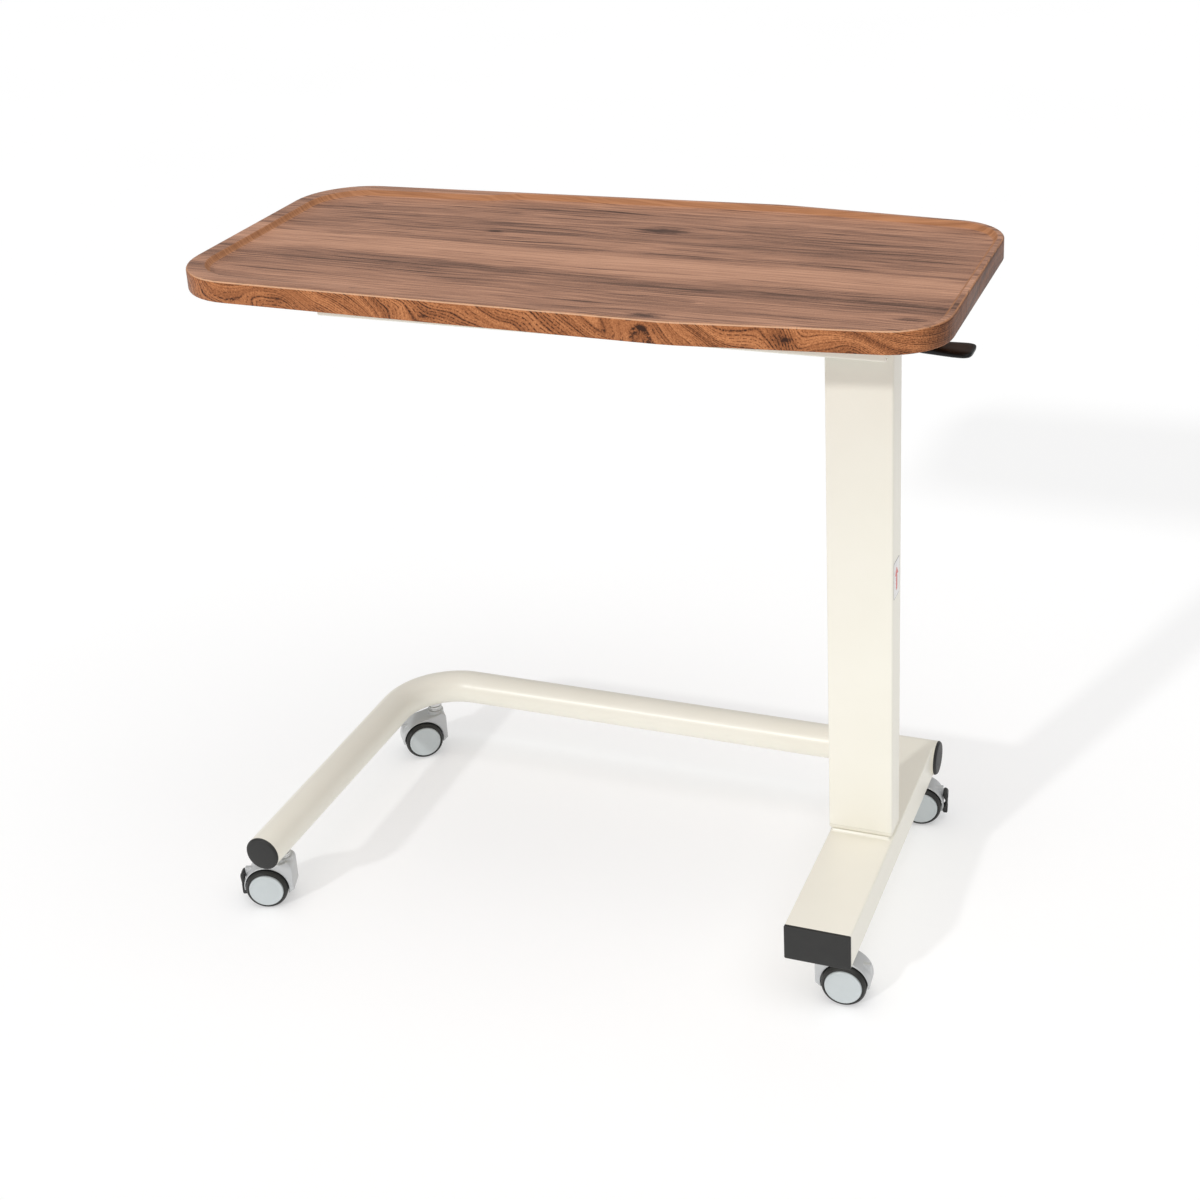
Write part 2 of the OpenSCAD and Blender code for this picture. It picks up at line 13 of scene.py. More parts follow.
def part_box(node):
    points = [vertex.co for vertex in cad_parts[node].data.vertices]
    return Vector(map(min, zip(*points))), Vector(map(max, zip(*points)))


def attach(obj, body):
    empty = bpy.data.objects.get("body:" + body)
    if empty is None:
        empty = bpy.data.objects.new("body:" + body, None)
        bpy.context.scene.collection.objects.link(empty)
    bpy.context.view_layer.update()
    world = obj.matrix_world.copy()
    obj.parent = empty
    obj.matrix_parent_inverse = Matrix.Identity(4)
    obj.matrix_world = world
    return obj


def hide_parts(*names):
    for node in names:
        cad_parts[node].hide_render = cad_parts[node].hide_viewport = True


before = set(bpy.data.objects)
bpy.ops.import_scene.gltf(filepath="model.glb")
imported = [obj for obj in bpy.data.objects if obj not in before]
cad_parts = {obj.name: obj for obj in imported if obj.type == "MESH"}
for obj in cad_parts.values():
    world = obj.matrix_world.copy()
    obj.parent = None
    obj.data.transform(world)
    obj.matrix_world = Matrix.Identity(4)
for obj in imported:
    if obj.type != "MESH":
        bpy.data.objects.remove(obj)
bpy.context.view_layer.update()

MM = 0.001
CASTERS = ("front_right", "front_left", "back_left", "back_right")
BRAKED = ("front_left", "back_right")
sleeve_low, sleeve_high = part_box("column_sleeve")
MID_Y = (sleeve_low.y + sleeve_high.y) / 2 / MM  # the column's middle

# ---- Camera ----

CAMERA_AT = (0.7455, MID_Y * MM - 1.772, 1.345)
CAMERA_YAW, CAMERA_PITCH, CAMERA_ROLL = math.radians(22.22), math.radians(23.28), math.radians(-3.18)
CAMERA_LENS, SENSOR_W, CAMERA_SHIFT = 59.01, 36, (-0.0167, -0.12)


def make_camera():
    back = Vector(
        (
            math.sin(CAMERA_YAW) * math.cos(CAMERA_PITCH),
            -math.cos(CAMERA_YAW) * math.cos(CAMERA_PITCH),
            math.sin(CAMERA_PITCH),
        )
    )
    level = Vector((0, 0, 1)).cross(back).normalized()
    up = back.cross(level)
    right = math.cos(CAMERA_ROLL) * level + math.sin(CAMERA_ROLL) * up
    up = back.cross(right)
    data = bpy.data.cameras.new("camera")
    data.lens, data.sensor_width = CAMERA_LENS, SENSOR_W
    data.shift_x, data.shift_y = CAMERA_SHIFT
    camera = bpy.data.objects.new("camera", data)
    camera.matrix_world = Matrix.Translation(CAMERA_AT) @ Matrix((right, up, back)).transposed().to_4x4()
    bpy.context.scene.collection.objects.link(camera)
    bpy.context.scene.camera = camera


make_camera()

# ---- Shapes: every one is (points, faces) ----


def rounded_rect(w, d, r, steps=6):
    """Points anticlockwise round a rectangle with rounded corners."""
    points = []
    for sx, sy, start in ((1, 1, 0), (-1, 1, 90), (-1, -1, 180), (1, -1, 270)):
        for i in range(steps + 1):
            a = math.radians(start + 90 * i / steps)
            points.append((sx * (w / 2 - r) + r * math.cos(a), sy * (d / 2 - r) + r * math.sin(a)))
    return points


def loft(rings, loop=False, caps=True):
    """Joins rings of as many points each. With loop, the last is joined to the first."""
    n = len(rings[0])
    points = [p for ring in rings for p in ring]
    faces = []
    for i in range(len(rings) if loop else len(rings) - 1):
        a, b = i * n, (i + 1) % len(rings) * n
        faces += [(a + j, a + (j + 1) % n, b + (j + 1) % n, b + j) for j in range(n)]
    if caps and not loop:
        faces.append(tuple(range(n - 1, -1, -1)))
        faces.append(tuple(range(len(points) - n, len(points))))
    return points, faces


def revolve(profile, steps=56, loop=False):
    """Turns (radius, height) points about Z. A point of no radius is a pole."""
    points, rows, faces = [], [], []
    for r, z in profile:
        count = steps if r > 1e-6 else 1
        rows.append([len(points) + i for i in range(count)])
        for i in range(count):
            a = 2 * math.pi * i / steps
            points.append((r * math.cos(a), r * math.sin(a), z))
    for a, b in zip(rows, rows[1:] + ([rows[0]] if loop else [])):
        for i in range(steps):
            k = (i + 1) % steps
            if len(a) == 1:
                faces.append((a[0], b[k], b[i]))
            elif len(b) == 1:
                faces.append((a[i], a[k], b[0]))
            else:
                faces.append((a[i], a[k], b[k], b[i]))
    return points, faces


def joined(*shapes):
    points, faces = [], []
    for some_points, some_faces in shapes:
        faces += [tuple(i + len(points) for i in face) for face in some_faces]
        points += list(some_points)
    return points, faces


def moved(shape, matrix):
    return [tuple(matrix @ Vector(p)) for p in shape[0]], shape[1]


def at(x=0.0, y=0.0, z=0.0):
    return Matrix.Translation((x, y, z))


def turn(degrees, axis):
    return Matrix.Rotation(math.radians(degrees), 4, axis)


TO_Y = turn(-90, "X")  # a shape drawn up Z then runs along +Y
TO_X = turn(90, "Y")  # a shape drawn up Z then runs along +X
TO_FRONT = turn(90, "X")  # a shape drawn up Z then faces -Y


def placed(x=0.0, y=0.0, z=0.0):
    """Where a piece goes: a move given in millimetres, as a matrix in metres."""
    return Matrix.Translation((x * MM, y * MM, z * MM))


def stacked(w, d, r, profile, steps=6, caps=True, loop=False):
    """A rounded rectangle drawn up Z through (inset, height) points."""
    rings = [
        [(x, y, z) for x, y in rounded_rect(w - 2 * inset, d - 2 * inset, max(r - inset, 0.3), steps)]
        for inset, z in profile
    ]
    return loft(rings, loop, caps)


def crowned(w, d, r, profile, rise, steps=6):
    """As stacked, with a face that swells by rise towards its middle."""
    points, faces = stacked(w, d, r, profile, steps)
    faces.pop()
    top = profile[-1][1]
    n = 4 * (steps + 1)
    outer = points[-n:]
    for share in (0.8, 0.5, 0.2):
        start = len(points)
        height = top + rise * (1 - share * share)
        points += [(x * share, y * share, height) for x, y, _ in outer]
        before = start - n
        faces += [(before + j, before + (j + 1) % n, start + (j + 1) % n, start + j) for j in range(n)]
    points.append((0, 0, top + rise))
    faces += [(start + j, start + (j + 1) % n, len(points) - 1) for j in range(n)]
    return points, faces


def swept(path, radius, steps):
    """Rings round a level path. The radius is one number, or a list with one for each point."""
    rings = []
    for i, p in enumerate(path):
        before, after = Vector(path[max(i - 1, 0)]), Vector(path[min(i + 1, len(path) - 1)])
        ahead = (after - before).normalized()
        side = Vector((-ahead.y, ahead.x, 0)).normalized()
        r = radius[i] if isinstance(radius, list) else radius
        ring = []
        for j in range(steps):
            a = 2 * math.pi * j / steps
            ring.append(tuple(Vector(p) + side * (r * math.cos(a)) + Vector((0, 0, r * math.sin(a)))))
        rings.append(ring)
    return rings


def mesh_of(name, shape, remesh=0.0, smooth=0):
    """A mesh in metres. With remesh, crossing shells become one skin of that voxel size."""
    data = bpy.data.meshes.new(name)
    data.from_pydata([Vector(p) * MM for p in shape[0]], [], shape[1])
    bm = bmesh.new()
    bm.from_mesh(data)
    bmesh.ops.remove_doubles(bm, verts=bm.verts, dist=1e-6)
    bmesh.ops.recalc_face_normals(bm, faces=bm.faces)
    bm.to_mesh(data)
    bm.free()
    if not remesh:
        return data
    worker = bpy.data.objects.new("worker", data)
    bpy.context.scene.collection.objects.link(worker)
    voxels = worker.modifiers.new("voxels", "REMESH")
    voxels.mode, voxels.voxel_size = "VOXEL", remesh * MM
    if smooth:
        soften = worker.modifiers.new("soften", "SMOOTH")
        soften.factor, soften.iterations = 0.5, smooth
    result = bpy.data.meshes.new_from_object(worker.evaluated_get(bpy.context.evaluated_depsgraph_get()))
    bpy.data.objects.remove(worker)
    result.name = name
    return result


def piece(name, data, material, body, nodes, place, sharp=35):
    """Adds a mesh or shape as a piece. place is a matrix in metres; edges are sharp past sharp degrees."""
    if isinstance(data, tuple):
        data = mesh_of(name, data)
    data = data.copy()
    data.name = name
    data.transform(place)
    data.polygons.foreach_set("use_smooth", [True] * len(data.polygons))
    if sharp:
        data.set_sharp_from_angle(angle=math.radians(sharp))
    data.materials.clear()
    data.materials.append(material)
    made = bpy.data.objects.new(name, data)
    bpy.context.scene.collection.objects.link(made)
    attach(made, body)
    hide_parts(*nodes)
    return made


# ---- Materials ----


class Look:
    """A material's node tree, with short ways to add nodes."""

    def __init__(self, name, **values):
        self.material = bpy.data.materials.new(name)
        self.material.use_nodes = True
        self.tree = self.material.node_tree
        self.shader = self.tree.nodes["Principled BSDF"]
        for socket, value in values.items():
            self.set(self.shader.inputs[socket.replace("_", " ")], value)
        self.where = self.tree.nodes.new("ShaderNodeTexCoord")
        self.spot = self.where.outputs["Object"]

    def set(self, socket, value):
        if isinstance(value, bpy.types.NodeSocket):
            self.tree.links.new(value, socket)
        else:
            socket.default_value = value

    def add(self, kind, settings=None, **values):
        """A node's first output. A value goes to the input of its name, or i0, i1 ... to that input."""
        node = self.tree.nodes.new("ShaderNode" + kind)
        for key, value in (settings or {}).items():
            setattr(node, key, value)
        for key, value in values.items():
            index = int(key[1:]) if key[0] == "i" and key[1:].isdigit() else key.replace("_", " ")
            self.set(node.inputs[index], value)
        return node.outputs[0]

    def math(self, operation, a, b=0.0, c=0.0, clamp=False):
        settings = {"operation": operation, "use_clamp": clamp}
        return self.add("Math", settings=settings, i0=a, i1=b, i2=c)

    def times(self, a, b):
        return self.math("MULTIPLY", a, b)

    def plus(self, a, b):
        return self.math("ADD", a, b)

    def minus(self, a, b):
        return self.math("SUBTRACT", a, b)

    def absolute(self, a):
        return self.math("ABSOLUTE", a)

    def split(self, vector):
        node = self.tree.nodes.new("ShaderNodeSeparateXYZ")
        self.set(node.inputs[0], vector)
        return node.outputs

    def scaled(self, x, y, z, spot=None):
        settings = {"operation": "MULTIPLY"}
        return self.add("VectorMath", settings=settings, i0=spot or self.spot, i1=(x, y, z))

    def noise(self, spot, scale=1.0, detail=3.0, rough=0.5, bend=0.0):
        values = {"Scale": scale, "Detail": detail, "Roughness": rough, "Distortion": bend}
        return self.add("TexNoise", Vector=spot, **values)

    def span(self, value, low, high, to_low=0.0, to_high=1.0):
        """Goes smoothly from to_low to to_high while the value goes from low to high."""
        settings = {"interpolation_type": "SMOOTHSTEP"}
        return self.add("MapRange", settings=settings, i0=value, i1=low, i2=high, i3=to_low, i4=to_high)

    def ramp(self, value, stops):
        """Each stop is a place and either a colour or a grey."""
        node = self.tree.nodes.new("ShaderNodeValToRGB")
        while len(node.color_ramp.elements) < len(stops):
            node.color_ramp.elements.new(0.5)
        for element, (place, colour) in zip(node.color_ramp.elements, stops):
            element.position = place
            element.color = (*colour, 1) if isinstance(colour, tuple) else (colour, colour, colour, 1)
        self.set(node.inputs[0], value)
        return node.outputs[0]

    def mix(self, share, a, b, blend="MIX"):
        node = self.tree.nodes.new("ShaderNodeMix")
        node.data_type, node.blend_type = "RGBA", blend
        self.set(node.inputs[0], share)
        for socket, colour in ((node.inputs[6], a), (node.inputs[7], b)):
            self.set(socket, (*colour, 1) if isinstance(colour, tuple) else colour)
        return node.outputs[2]

    def bump(self, height, distance, strength=1.0, under=None):
        values = {"Height": height, "Distance": distance, "Strength": strength}
        if under is not None:
            values["Normal"] = under
        return self.add("Bump", **values)

    def finish(self, colour=None, rough=None, normal=None):
        for socket, value in (("Base Color", colour), ("Roughness", rough), ("Normal", normal)):
            if value is not None:
                self.set(self.shader.inputs[socket], value)
        return self.material


def powder_coat():
    """Cream paint with a fine orange peel and slightly uneven gloss."""
    look = Look("powder_coat", Coat_Weight=0.12, Coat_Roughness=0.22)
    peel = look.noise(look.spot, 900, 2, 0.45)
    cloud = look.noise(look.spot, 9, 3, 0.6)
    colour = look.mix(cloud, (0.850, 0.818, 0.712), (0.900, 0.874, 0.782))
    return look.finish(colour, look.span(cloud, 0.3, 0.7, 0.33, 0.42), look.bump(peel, 0.0002, 0.35))


def moulded(name, low, high, rough, grain=1400, depth=0.0002, strength=0.4, **values):
    """Moulded plastic: two close tones, a spark-eroded grain and uneven gloss."""
    look = Look(name, **values)
    cloud = look.noise(look.spot, 45, 4, 0.6)
    texture = look.noise(look.spot, grain, 2, 0.6)
    roughness = look.span(cloud, 0.3, 0.7, rough - 0.05, rough + 0.05)
    return look.finish(look.mix(cloud, low, high), roughness, look.bump(texture, depth, strength))


def plated(name, low, high, rough):
    """Zinc or chrome plate with fine draw lines."""
    look = Look(name, Metallic=1.0)
    cloud = look.noise(look.spot, 120, 4, 0.65)
    lines = look.noise(look.scaled(300, 300, 4000), 1, 2)
    roughness = look.span(cloud, 0.25, 0.75, rough - 0.06, rough + 0.08)
    return look.finish(look.mix(cloud, low, high), roughness, look.bump(lines, 0.00005, 0.3))


# Knots on the board's face: x, y and size in metres, and how dark the middle is.
KNOTS = (
    (-0.309, 0.128, 0.006, 0.40),
    (0.047, 0.092, 0.016, 0.42),
    (-0.131, 0.056, 0.005, 0.45),
    (0.148, -0.120, 0.005, 0.45),
    (0.120, -0.163, 0.010, 0.62),
    (0.362, -0.121, 0.009, 0.50),
)
# Bands of tone across the board: place, as 0 for y = -0.2 m to 1 for y = 0.2 m, and tone.
BANDS = (
    (0.0, 0.60),
    (0.10, 0.58),
    (0.145, 0.52),
    (0.22, 0.54),
    (0.255, 0.44),
    (0.30, 0.34),
    (0.365, 0.42),
    (0.385, 0.74),
    (0.47, 0.80),
    (0.515, 0.68),
    (0.525, 0.42),
    (0.55, 0.52),
    (0.615, 0.55),
    (0.628, 0.36),
    (0.70, 0.42),
    (0.78, 0.50),
    (0.88, 0.55),
    (1.0, 0.60),
)
# Knots on the board's side: x, height and size in metres, and how dark the middle is.
SIDE_KNOTS = (
    (0.127, 0.7415, 0.0060, 0.80),
    (-0.098, 0.7325, 0.0040, 0.60),
    (0.262, 0.7370, 0.0050, 0.60),
    (-0.262, 0.7350, 0.0035, 0.45),
)
# How the grain lies: its slant against X, its drift in metres, and how far a knot pushes it aside.
GRAIN_SLANT, GRAIN_DRIFT, KNOT_PUSH = 0.025, 0.028, 0.75
# The side's growth rings: how often they come in a metre, and how they slant and swirl.
RINGS, COARSE_RINGS, RING_SLANT, RING_SWIRL = 330, 66, 0.42, 0.13
# The colour of the painted highlight along the board's outer top edge.
ARRIS_HIGHLIGHT = (0.780, 0.480, 0.300)


def knot(look, across, along, centre, size, stretch, dark, ragged):
    """How dark a knot makes each point, how near the point is to it, and the point's distance across."""
    dx = look.times(look.minus(along, centre[0]), stretch)
    dy = look.minus(across, centre[1])
    apart = look.math("SQRT", look.plus(look.times(dx, dx), look.times(dy, dy)))
    heart = look.span(look.math("MULTIPLY_ADD", ragged, size, apart), size * 0.5, size * 1.4, dark, 0.0)
    return heart, look.span(apart, 0.0, size * 2.6, 1.0, 0.0), dy


def pushed_grain(look, x, y):
    """The distance across the grain, which runs nearly along X and bends round the knots, and the knots."""
    drift = look.noise(look.scaled(2.2, 5.0, 0), 1, 3, 0.5)
    slanted = look.math("MULTIPLY_ADD", x, GRAIN_SLANT, y)
    across = look.minus(look.math("MULTIPLY_ADD", drift, GRAIN_DRIFT, slanted), GRAIN_DRIFT / 2)
    ragged = look.noise(look.scaled(90, 260, 0), 1, 4, 0.7)
    core = 0.0
    for knot_x, knot_y, size, dark in KNOTS:
        heart, near, dy = knot(look, y, x, (knot_x, knot_y), size, 0.33, dark, ragged)
        across = look.minus(across, look.times(look.times(near, dy), KNOT_PUSH))
        core = look.math("MAXIMUM", core, heart)
    return across, core


def board_face(look, line, across, core, fine, speck):
    """The printed face's tone and colour: bands, three widths of grain, streaks, specks and knots."""
    tone = look.ramp(look.math("MULTIPLY_ADD", across, 2.5, 0.5), BANDS)
    wide = look.noise(look.scaled(3.0, 40, 0, line), 1, 5, 0.62, 0.3)
    hair = look.noise(look.scaled(16.0, 950, 0, line), 1, 3, 0.6)
    tone = look.plus(tone, look.span(wide, 0.28, 0.72, -0.17, 0.17))
    tone = look.plus(tone, look.span(fine, 0.33, 0.67, -0.20, 0.20))
    tone = look.plus(tone, look.span(hair, 0.33, 0.67, -0.17, 0.17))
    streak = look.span(look.noise(look.scaled(4.5, 300, 3.0, line), 1, 4, 0.65, 0.2), 0.57, 0.62)
    dark_zone = look.span(tone, 0.75, 0.40)
    tone = look.minus(tone, look.times(look.times(streak, dark_zone), 0.38))
    tone = look.plus(tone, look.span(speck, 0.3, 0.7, -0.10, 0.10))
    tone = look.math("SUBTRACT", tone, core, clamp=True)
    stops = (
        (0.0, (0.082, 0.042, 0.029)),
        (0.25, (0.210, 0.108, 0.072)),
        (0.5, (0.370, 0.188, 0.119)),
        (0.75, (0.500, 0.258, 0.162)),
        (1.0, (0.610, 0.325, 0.205)),
    )
    return tone, look.ramp(tone, stops)


def board_side(look, x, y, z, speck):
    """The side's colour: arched rings cut at a slant, dashed with dark cells, and a few knots."""
    around = look.minus(x, look.times(y, 0.35))
    sheet = look.add("CombineXYZ", X=around, Y=look.times(z, 1.2), Z=0.0)
    swirl = look.noise(sheet, 8, 1.5, 0.5, 0.5)
    rings_at = look.math("MULTIPLY_ADD", around, RING_SLANT, z)
    rings_at = look.math("MULTIPLY_ADD", swirl, RING_SWIRL, rings_at)
    coarse = look.math("FRACT", look.times(rings_at, COARSE_RINGS))
    coarse_line = look.span(look.absolute(look.minus(coarse, 0.5)), 0.0, 0.11, 1.0, 0.0)
    rings = look.math("FRACT", look.times(rings_at, RINGS))
    ring_line = look.span(look.absolute(look.minus(rings, 0.5)), 0.04, 0.26, 1.0, 0.0)
    dash = look.span(look.noise(look.scaled(420, 420, 420), 1, 2, 0.6), 0.42, 0.54)
    patch = look.span(look.noise(look.scaled(16, 16, 34), 1, 2, 0.6), 0.36, 0.56, 0.25, 1.0)
    bands = look.noise(look.add("CombineXYZ", X=rings_at, Y=0.0, Z=0.0), 60, 4, 0.65)
    tone = look.span(bands, 0.28, 0.72, 0.42, 1.0)
    tone = look.plus(tone, look.span(speck, 0.3, 0.7, -0.16, 0.16))
    dark_cells = look.times(look.times(ring_line, dash), patch)
    tone = look.math("MULTIPLY_ADD", dark_cells, -0.58, tone)
    tone = look.math("MULTIPLY_ADD", coarse_line, -0.30, tone)
    ragged = look.noise(look.scaled(160, 160, 260), 1, 4, 0.7)
    for knot_x, knot_z, size, dark in SIDE_KNOTS:
        heart, near, _ = knot(look, z, x, (knot_x, knot_z), size, 0.45, dark, ragged)
        tone = look.minus(tone, look.math("MAXIMUM", heart, look.times(near, 0.18)))
    tone = look.math("ADD", tone, 0.0, clamp=True)
    stops = (
        (0.0, (0.045, 0.016, 0.008)),
        (0.3, (0.165, 0.056, 0.021)),
        (0.6, (0.345, 0.122, 0.044)),
        (1.0, (0.590, 0.240, 0.096)),
    )
    return look.ramp(tone, stops)


def walnut():
    """A printed walnut face, with an orange-brown side, ends darkened by painted shade and their grain, a
    plain slope and a painted highlight along the outer top edge.
    """
    look = Look("walnut", Specular_IOR_Level=0.16)
    x, y, z = look.split(look.spot)
    nx, ny, nz = look.split(look.where.outputs["Normal"])
    y = look.plus(y, -MID_Y * MM)
    across, core = pushed_grain(look, x, y)
    line = look.add("CombineXYZ", X=x, Y=across, Z=z)
    fine = look.noise(look.scaled(6.0, 330, 0, line), 1, 4, 0.7)
    speck = look.noise(look.scaled(650, 1000, 650), 1, 2, 0.7)
    tone, face = board_face(look, line, across, core, fine, speck)
    side = board_side(look, x, y, z, speck)

    # Each end is darker than the long sides: painted shade, mixed with the end grain's own darker tone.
    end = look.span(look.absolute(nx), 0.55, 0.98)
    end_lines = look.noise(look.scaled(40, 260, 30), 1, 3, 0.6)
    end_shade_and_grain = look.mix(look.span(end_lines, 0.3, 0.7), (0.27, 0.24, 0.22), (0.50, 0.46, 0.43))
    side = look.mix(end, side, look.mix(1.0, side, end_shade_and_grain, "MULTIPLY"))

    # The slope into the recess faces inwards and is a clean orange-brown; the outer top edge gets a painted
    # highlight.
    outward = look.plus(look.times(nx, x), look.times(ny, y))
    slope = look.mix(look.span(fine, 0.3, 0.7), (0.330, 0.140, 0.062), (0.520, 0.240, 0.115))
    side = look.mix(look.span(outward, 0.0, -0.02), side, slope)
    # Painted highlight: the outer top round-over is tinted pale where it faces up and outwards, and less at
    # the ends.
    arris_highlight = look.times(look.span(nz, 0.35, 0.62), look.span(nz, 0.97, 0.80))
    arris_highlight = look.times(arris_highlight, look.span(outward, 0.0, 0.02, 0.0, 0.75))
    arris_highlight = look.times(arris_highlight, look.span(look.absolute(nx), 0.2, 0.6, 1.0, 0.25))
    flat = look.span(nz, 0.80, 0.985)
    colour = look.mix(arris_highlight, look.mix(flat, side, face), ARRIS_HIGHLIGHT)
    pores = look.noise(look.scaled(90, 1500, 300, line), 1, 3, 0.6)
    relief = look.bump(pores, 0.0003, 0.22, look.bump(speck, 0.0002, 0.25))
    return look.finish(colour, look.span(tone, 0.0, 1.0, 0.52, 0.42), relief)


def tyre_rubber():
    """Black rubber with a little dust."""
    look = Look("tyre_rubber", Specular_IOR_Level=0.45)
    cloud = look.noise(look.spot, 60, 4, 0.6)
    dust = look.span(look.noise(look.spot, 220, 5, 0.75), 0.62, 0.80, 0.0, 0.25)
    clean = look.mix(cloud, (0.010, 0.010, 0.009), (0.020, 0.020, 0.018))
    relief = look.bump(look.noise(look.spot, 1500, 2), 0.0001, 0.3)
    colour = look.mix(dust, clean, (0.10, 0.095, 0.085))
    return look.finish(colour, look.span(cloud, 0.3, 0.7, 0.38, 0.50), relief)


CREAM = powder_coat()
WALNUT = walnut()
TYRE = tyre_rubber()
ZINC = plated("zinc_plate", (0.55, 0.56, 0.57), (0.72, 0.72, 0.70), 0.30)
CHROME = plated("rod_chrome", (0.70, 0.70, 0.71), (0.80, 0.80, 0.81), 0.14)
# Each moulded finish: two tones, roughness, how fine the grain is, its depth in metres and its strength.
CREAM_PLASTIC = moulded("cream_plastic", (0.80, 0.765, 0.655), (0.84, 0.81, 0.705), 0.42, 1100, 0.0001)
CHARCOALS = (0.010, 0.010, 0.010), (0.029, 0.029, 0.027)
GRIP_BLACKS = (0.004, 0.004, 0.004), (0.009, 0.009, 0.009)
CHARCOAL = moulded("charcoal_plastic", *CHARCOALS, 0.50, 900, 0.0003, 0.5, Specular_IOR_Level=0.4)
GRIP_BLACK = moulded("grip_black", *GRIP_BLACKS, 0.36, 700, 0.0001, 0.1, Specular_IOR_Level=0.22)
PEDAL_BLACK = moulded("pedal_black", (0.009, 0.009, 0.009), (0.016, 0.016, 0.015), 0.34, 900, 0.0001, 0.3)
HOOD_GREYS = (0.50, 0.51, 0.515), (0.58, 0.59, 0.595)
DISC_GREYS = (0.52, 0.565, 0.575), (0.60, 0.635, 0.64)
HOOD = moulded("hood_silver", *HOOD_GREYS, 0.36, 1500, 0.0001, 0.25, Metallic=0.25)
DISC = moulded("disc_silver", *DISC_GREYS, 0.34, 600, 0.0001, 0.2, Metallic=0.15)
GLIDE = moulded("glide_grey", (0.045, 0.045, 0.050), (0.070, 0.070, 0.075), 0.45)
GAS_BLACK = moulded("gas_black", (0.012, 0.012, 0.013), (0.020, 0.020, 0.021), 0.30, 700, 0.0001, 0.2)
LABEL = moulded("label_film", (0.80, 0.78, 0.77), (0.86, 0.84, 0.83), 0.30, 500, 0.0001, 0.1)
LABEL_RED = moulded("label_red", (0.62, 0.035, 0.030), (0.70, 0.050, 0.040), 0.32, 500, 0.0001, 0.1)
LABEL_GREY = moulded("label_grey", (0.30, 0.29, 0.28), (0.36, 0.35, 0.34), 0.32, 500, 0.0001, 0.1)

# ---- Tabletop ----

BOARD_L = 800
WIDE_X, WIDE_BLEND = 151, 13  # where the board is widest, and how far that bend is rounded
END_LEFT_W, WIDE_W, END_RIGHT_W = 352, 385, 336
CORNER_LEFT, CORNER_RIGHT = 75, 60
RIM_WIDE, RIM_THIN = 22, 10
STEP_FROM, STEP_TO = -196, -144  # where the rim steps from wide to thin
RECESS_CORNER_LEFT, RECESS_CORNER_RIGHT = 55, 50
BOARD_LOW, BOARD_TOP = 726, 749
ACROSS = 14  # squares across the board's faces


def half_width(x):
    """Half the board's width, which grows to WIDE_X and then shrinks."""
    left, right = -BOARD_L / 2, BOARD_L / 2
    up = (WIDE_W - END_LEFT_W) / 2 / (WIDE_X - left)
    down = (END_RIGHT_W - WIDE_W) / 2 / (right - WIDE_X)
    past = x - WIDE_X
    if abs(past) < WIDE_BLEND:
        return WIDE_W / 2 + up * past + (down - up) * (past + WIDE_BLEND) ** 2 / (4 * WIDE_BLEND)
    return WIDE_W / 2 + (up if past < 0 else down) * past


def rim(x):
    """The width of the rim in front of and behind the recess."""
    t = min(max((x - STEP_FROM) / (STEP_TO - STEP_FROM), 0), 1)
    return RIM_WIDE + (RIM_THIN - RIM_WIDE) * t * t * (3 - 2 * t)


# Stations along the board, close together where the rim steps.
ALONG = [-310 + 16 * i for i in range(8)] + [STEP_FROM + 4 * i for i in range(14)]
ALONG += [STEP_TO + 16 * i for i in range(1, 29)]


def half_outline(left, right, corner_left, corner_right, depth):
    """The front half of an outline, left to right. depth(x) is its distance in front of the middle."""
    path = []
    for end, corner, side in ((left, corner_left, 1), (right, corner_right, -1)):
        mid_x = end + side * corner
        slope = -(depth(mid_x + 1) - depth(mid_x - 1)) / 2
        length = math.hypot(1, slope)
        mid_y = -depth(mid_x) + corner * length
        down = math.atan2(-1, slope)
        start, stop = (-math.pi, down) if side > 0 else (down, 0)
        arc = []
        for i in range(13):
            a = start + (stop - start) * i / 12
            arc.append((mid_x + corner * math.cos(a), mid_y + corner * math.sin(a)))
        path.append(arc)
    first, last = path[0][-1][0], path[1][0][0]
    middle = [(x, -depth(x)) for x in ALONG if first + 2 < x < last - 2]
    return path[0] + middle + path[1]


def ring_of(half):
    """The closed outline, with points across each straight end."""
    left, right = half[0], half[-1]
    ends = [1 - 2 * i / ACROSS for i in range(1, ACROSS)]
    ring = list(half)
    ring += [(right[0], right[1] * share) for share in ends]
    ring += [(x, -y) for x, y in reversed(half)]
    ring += [(left[0], -left[1] * share) for share in ends]
    return ring


def inset_ring(ring, inset, z):
    """The ring moved inwards, at height z."""
    n, result = len(ring), []
    for i, (x, y) in enumerate(ring):
        (ax, ay), (bx, by) = ring[i - 1], ring[(i + 1) % n]
        length = math.hypot(bx - ax, by - ay)
        result.append((x - (by - ay) / length * inset, y + (bx - ax) / length * inset, z))
    return result


def filled(ring, count):
    """Points and faces of a grid inside a ring made by ring_of, count being the points of its half."""
    n = len(ring)
    far = 2 * count + ACROSS - 2
    points, faces, rows = [], [], []
    for i in range(count):
        low, high = Vector(ring[i]), Vector(ring[far - i])
        row = [i]
        for j in range(1, ACROSS):
            if i == 0:
                row.append(n - j)
            elif i == count - 1:
                row.append(count - 1 + j)
            else:
                row.append(n + len(points))
                points.append(tuple(low.lerp(high, j / ACROSS)))
        row.append(far - i)
        rows.append(row)
    for a, b in zip(rows, rows[1:]):
        faces += [(a[j], b[j], b[j + 1], a[j + 1]) for j in range(ACROSS)]
    return points, faces


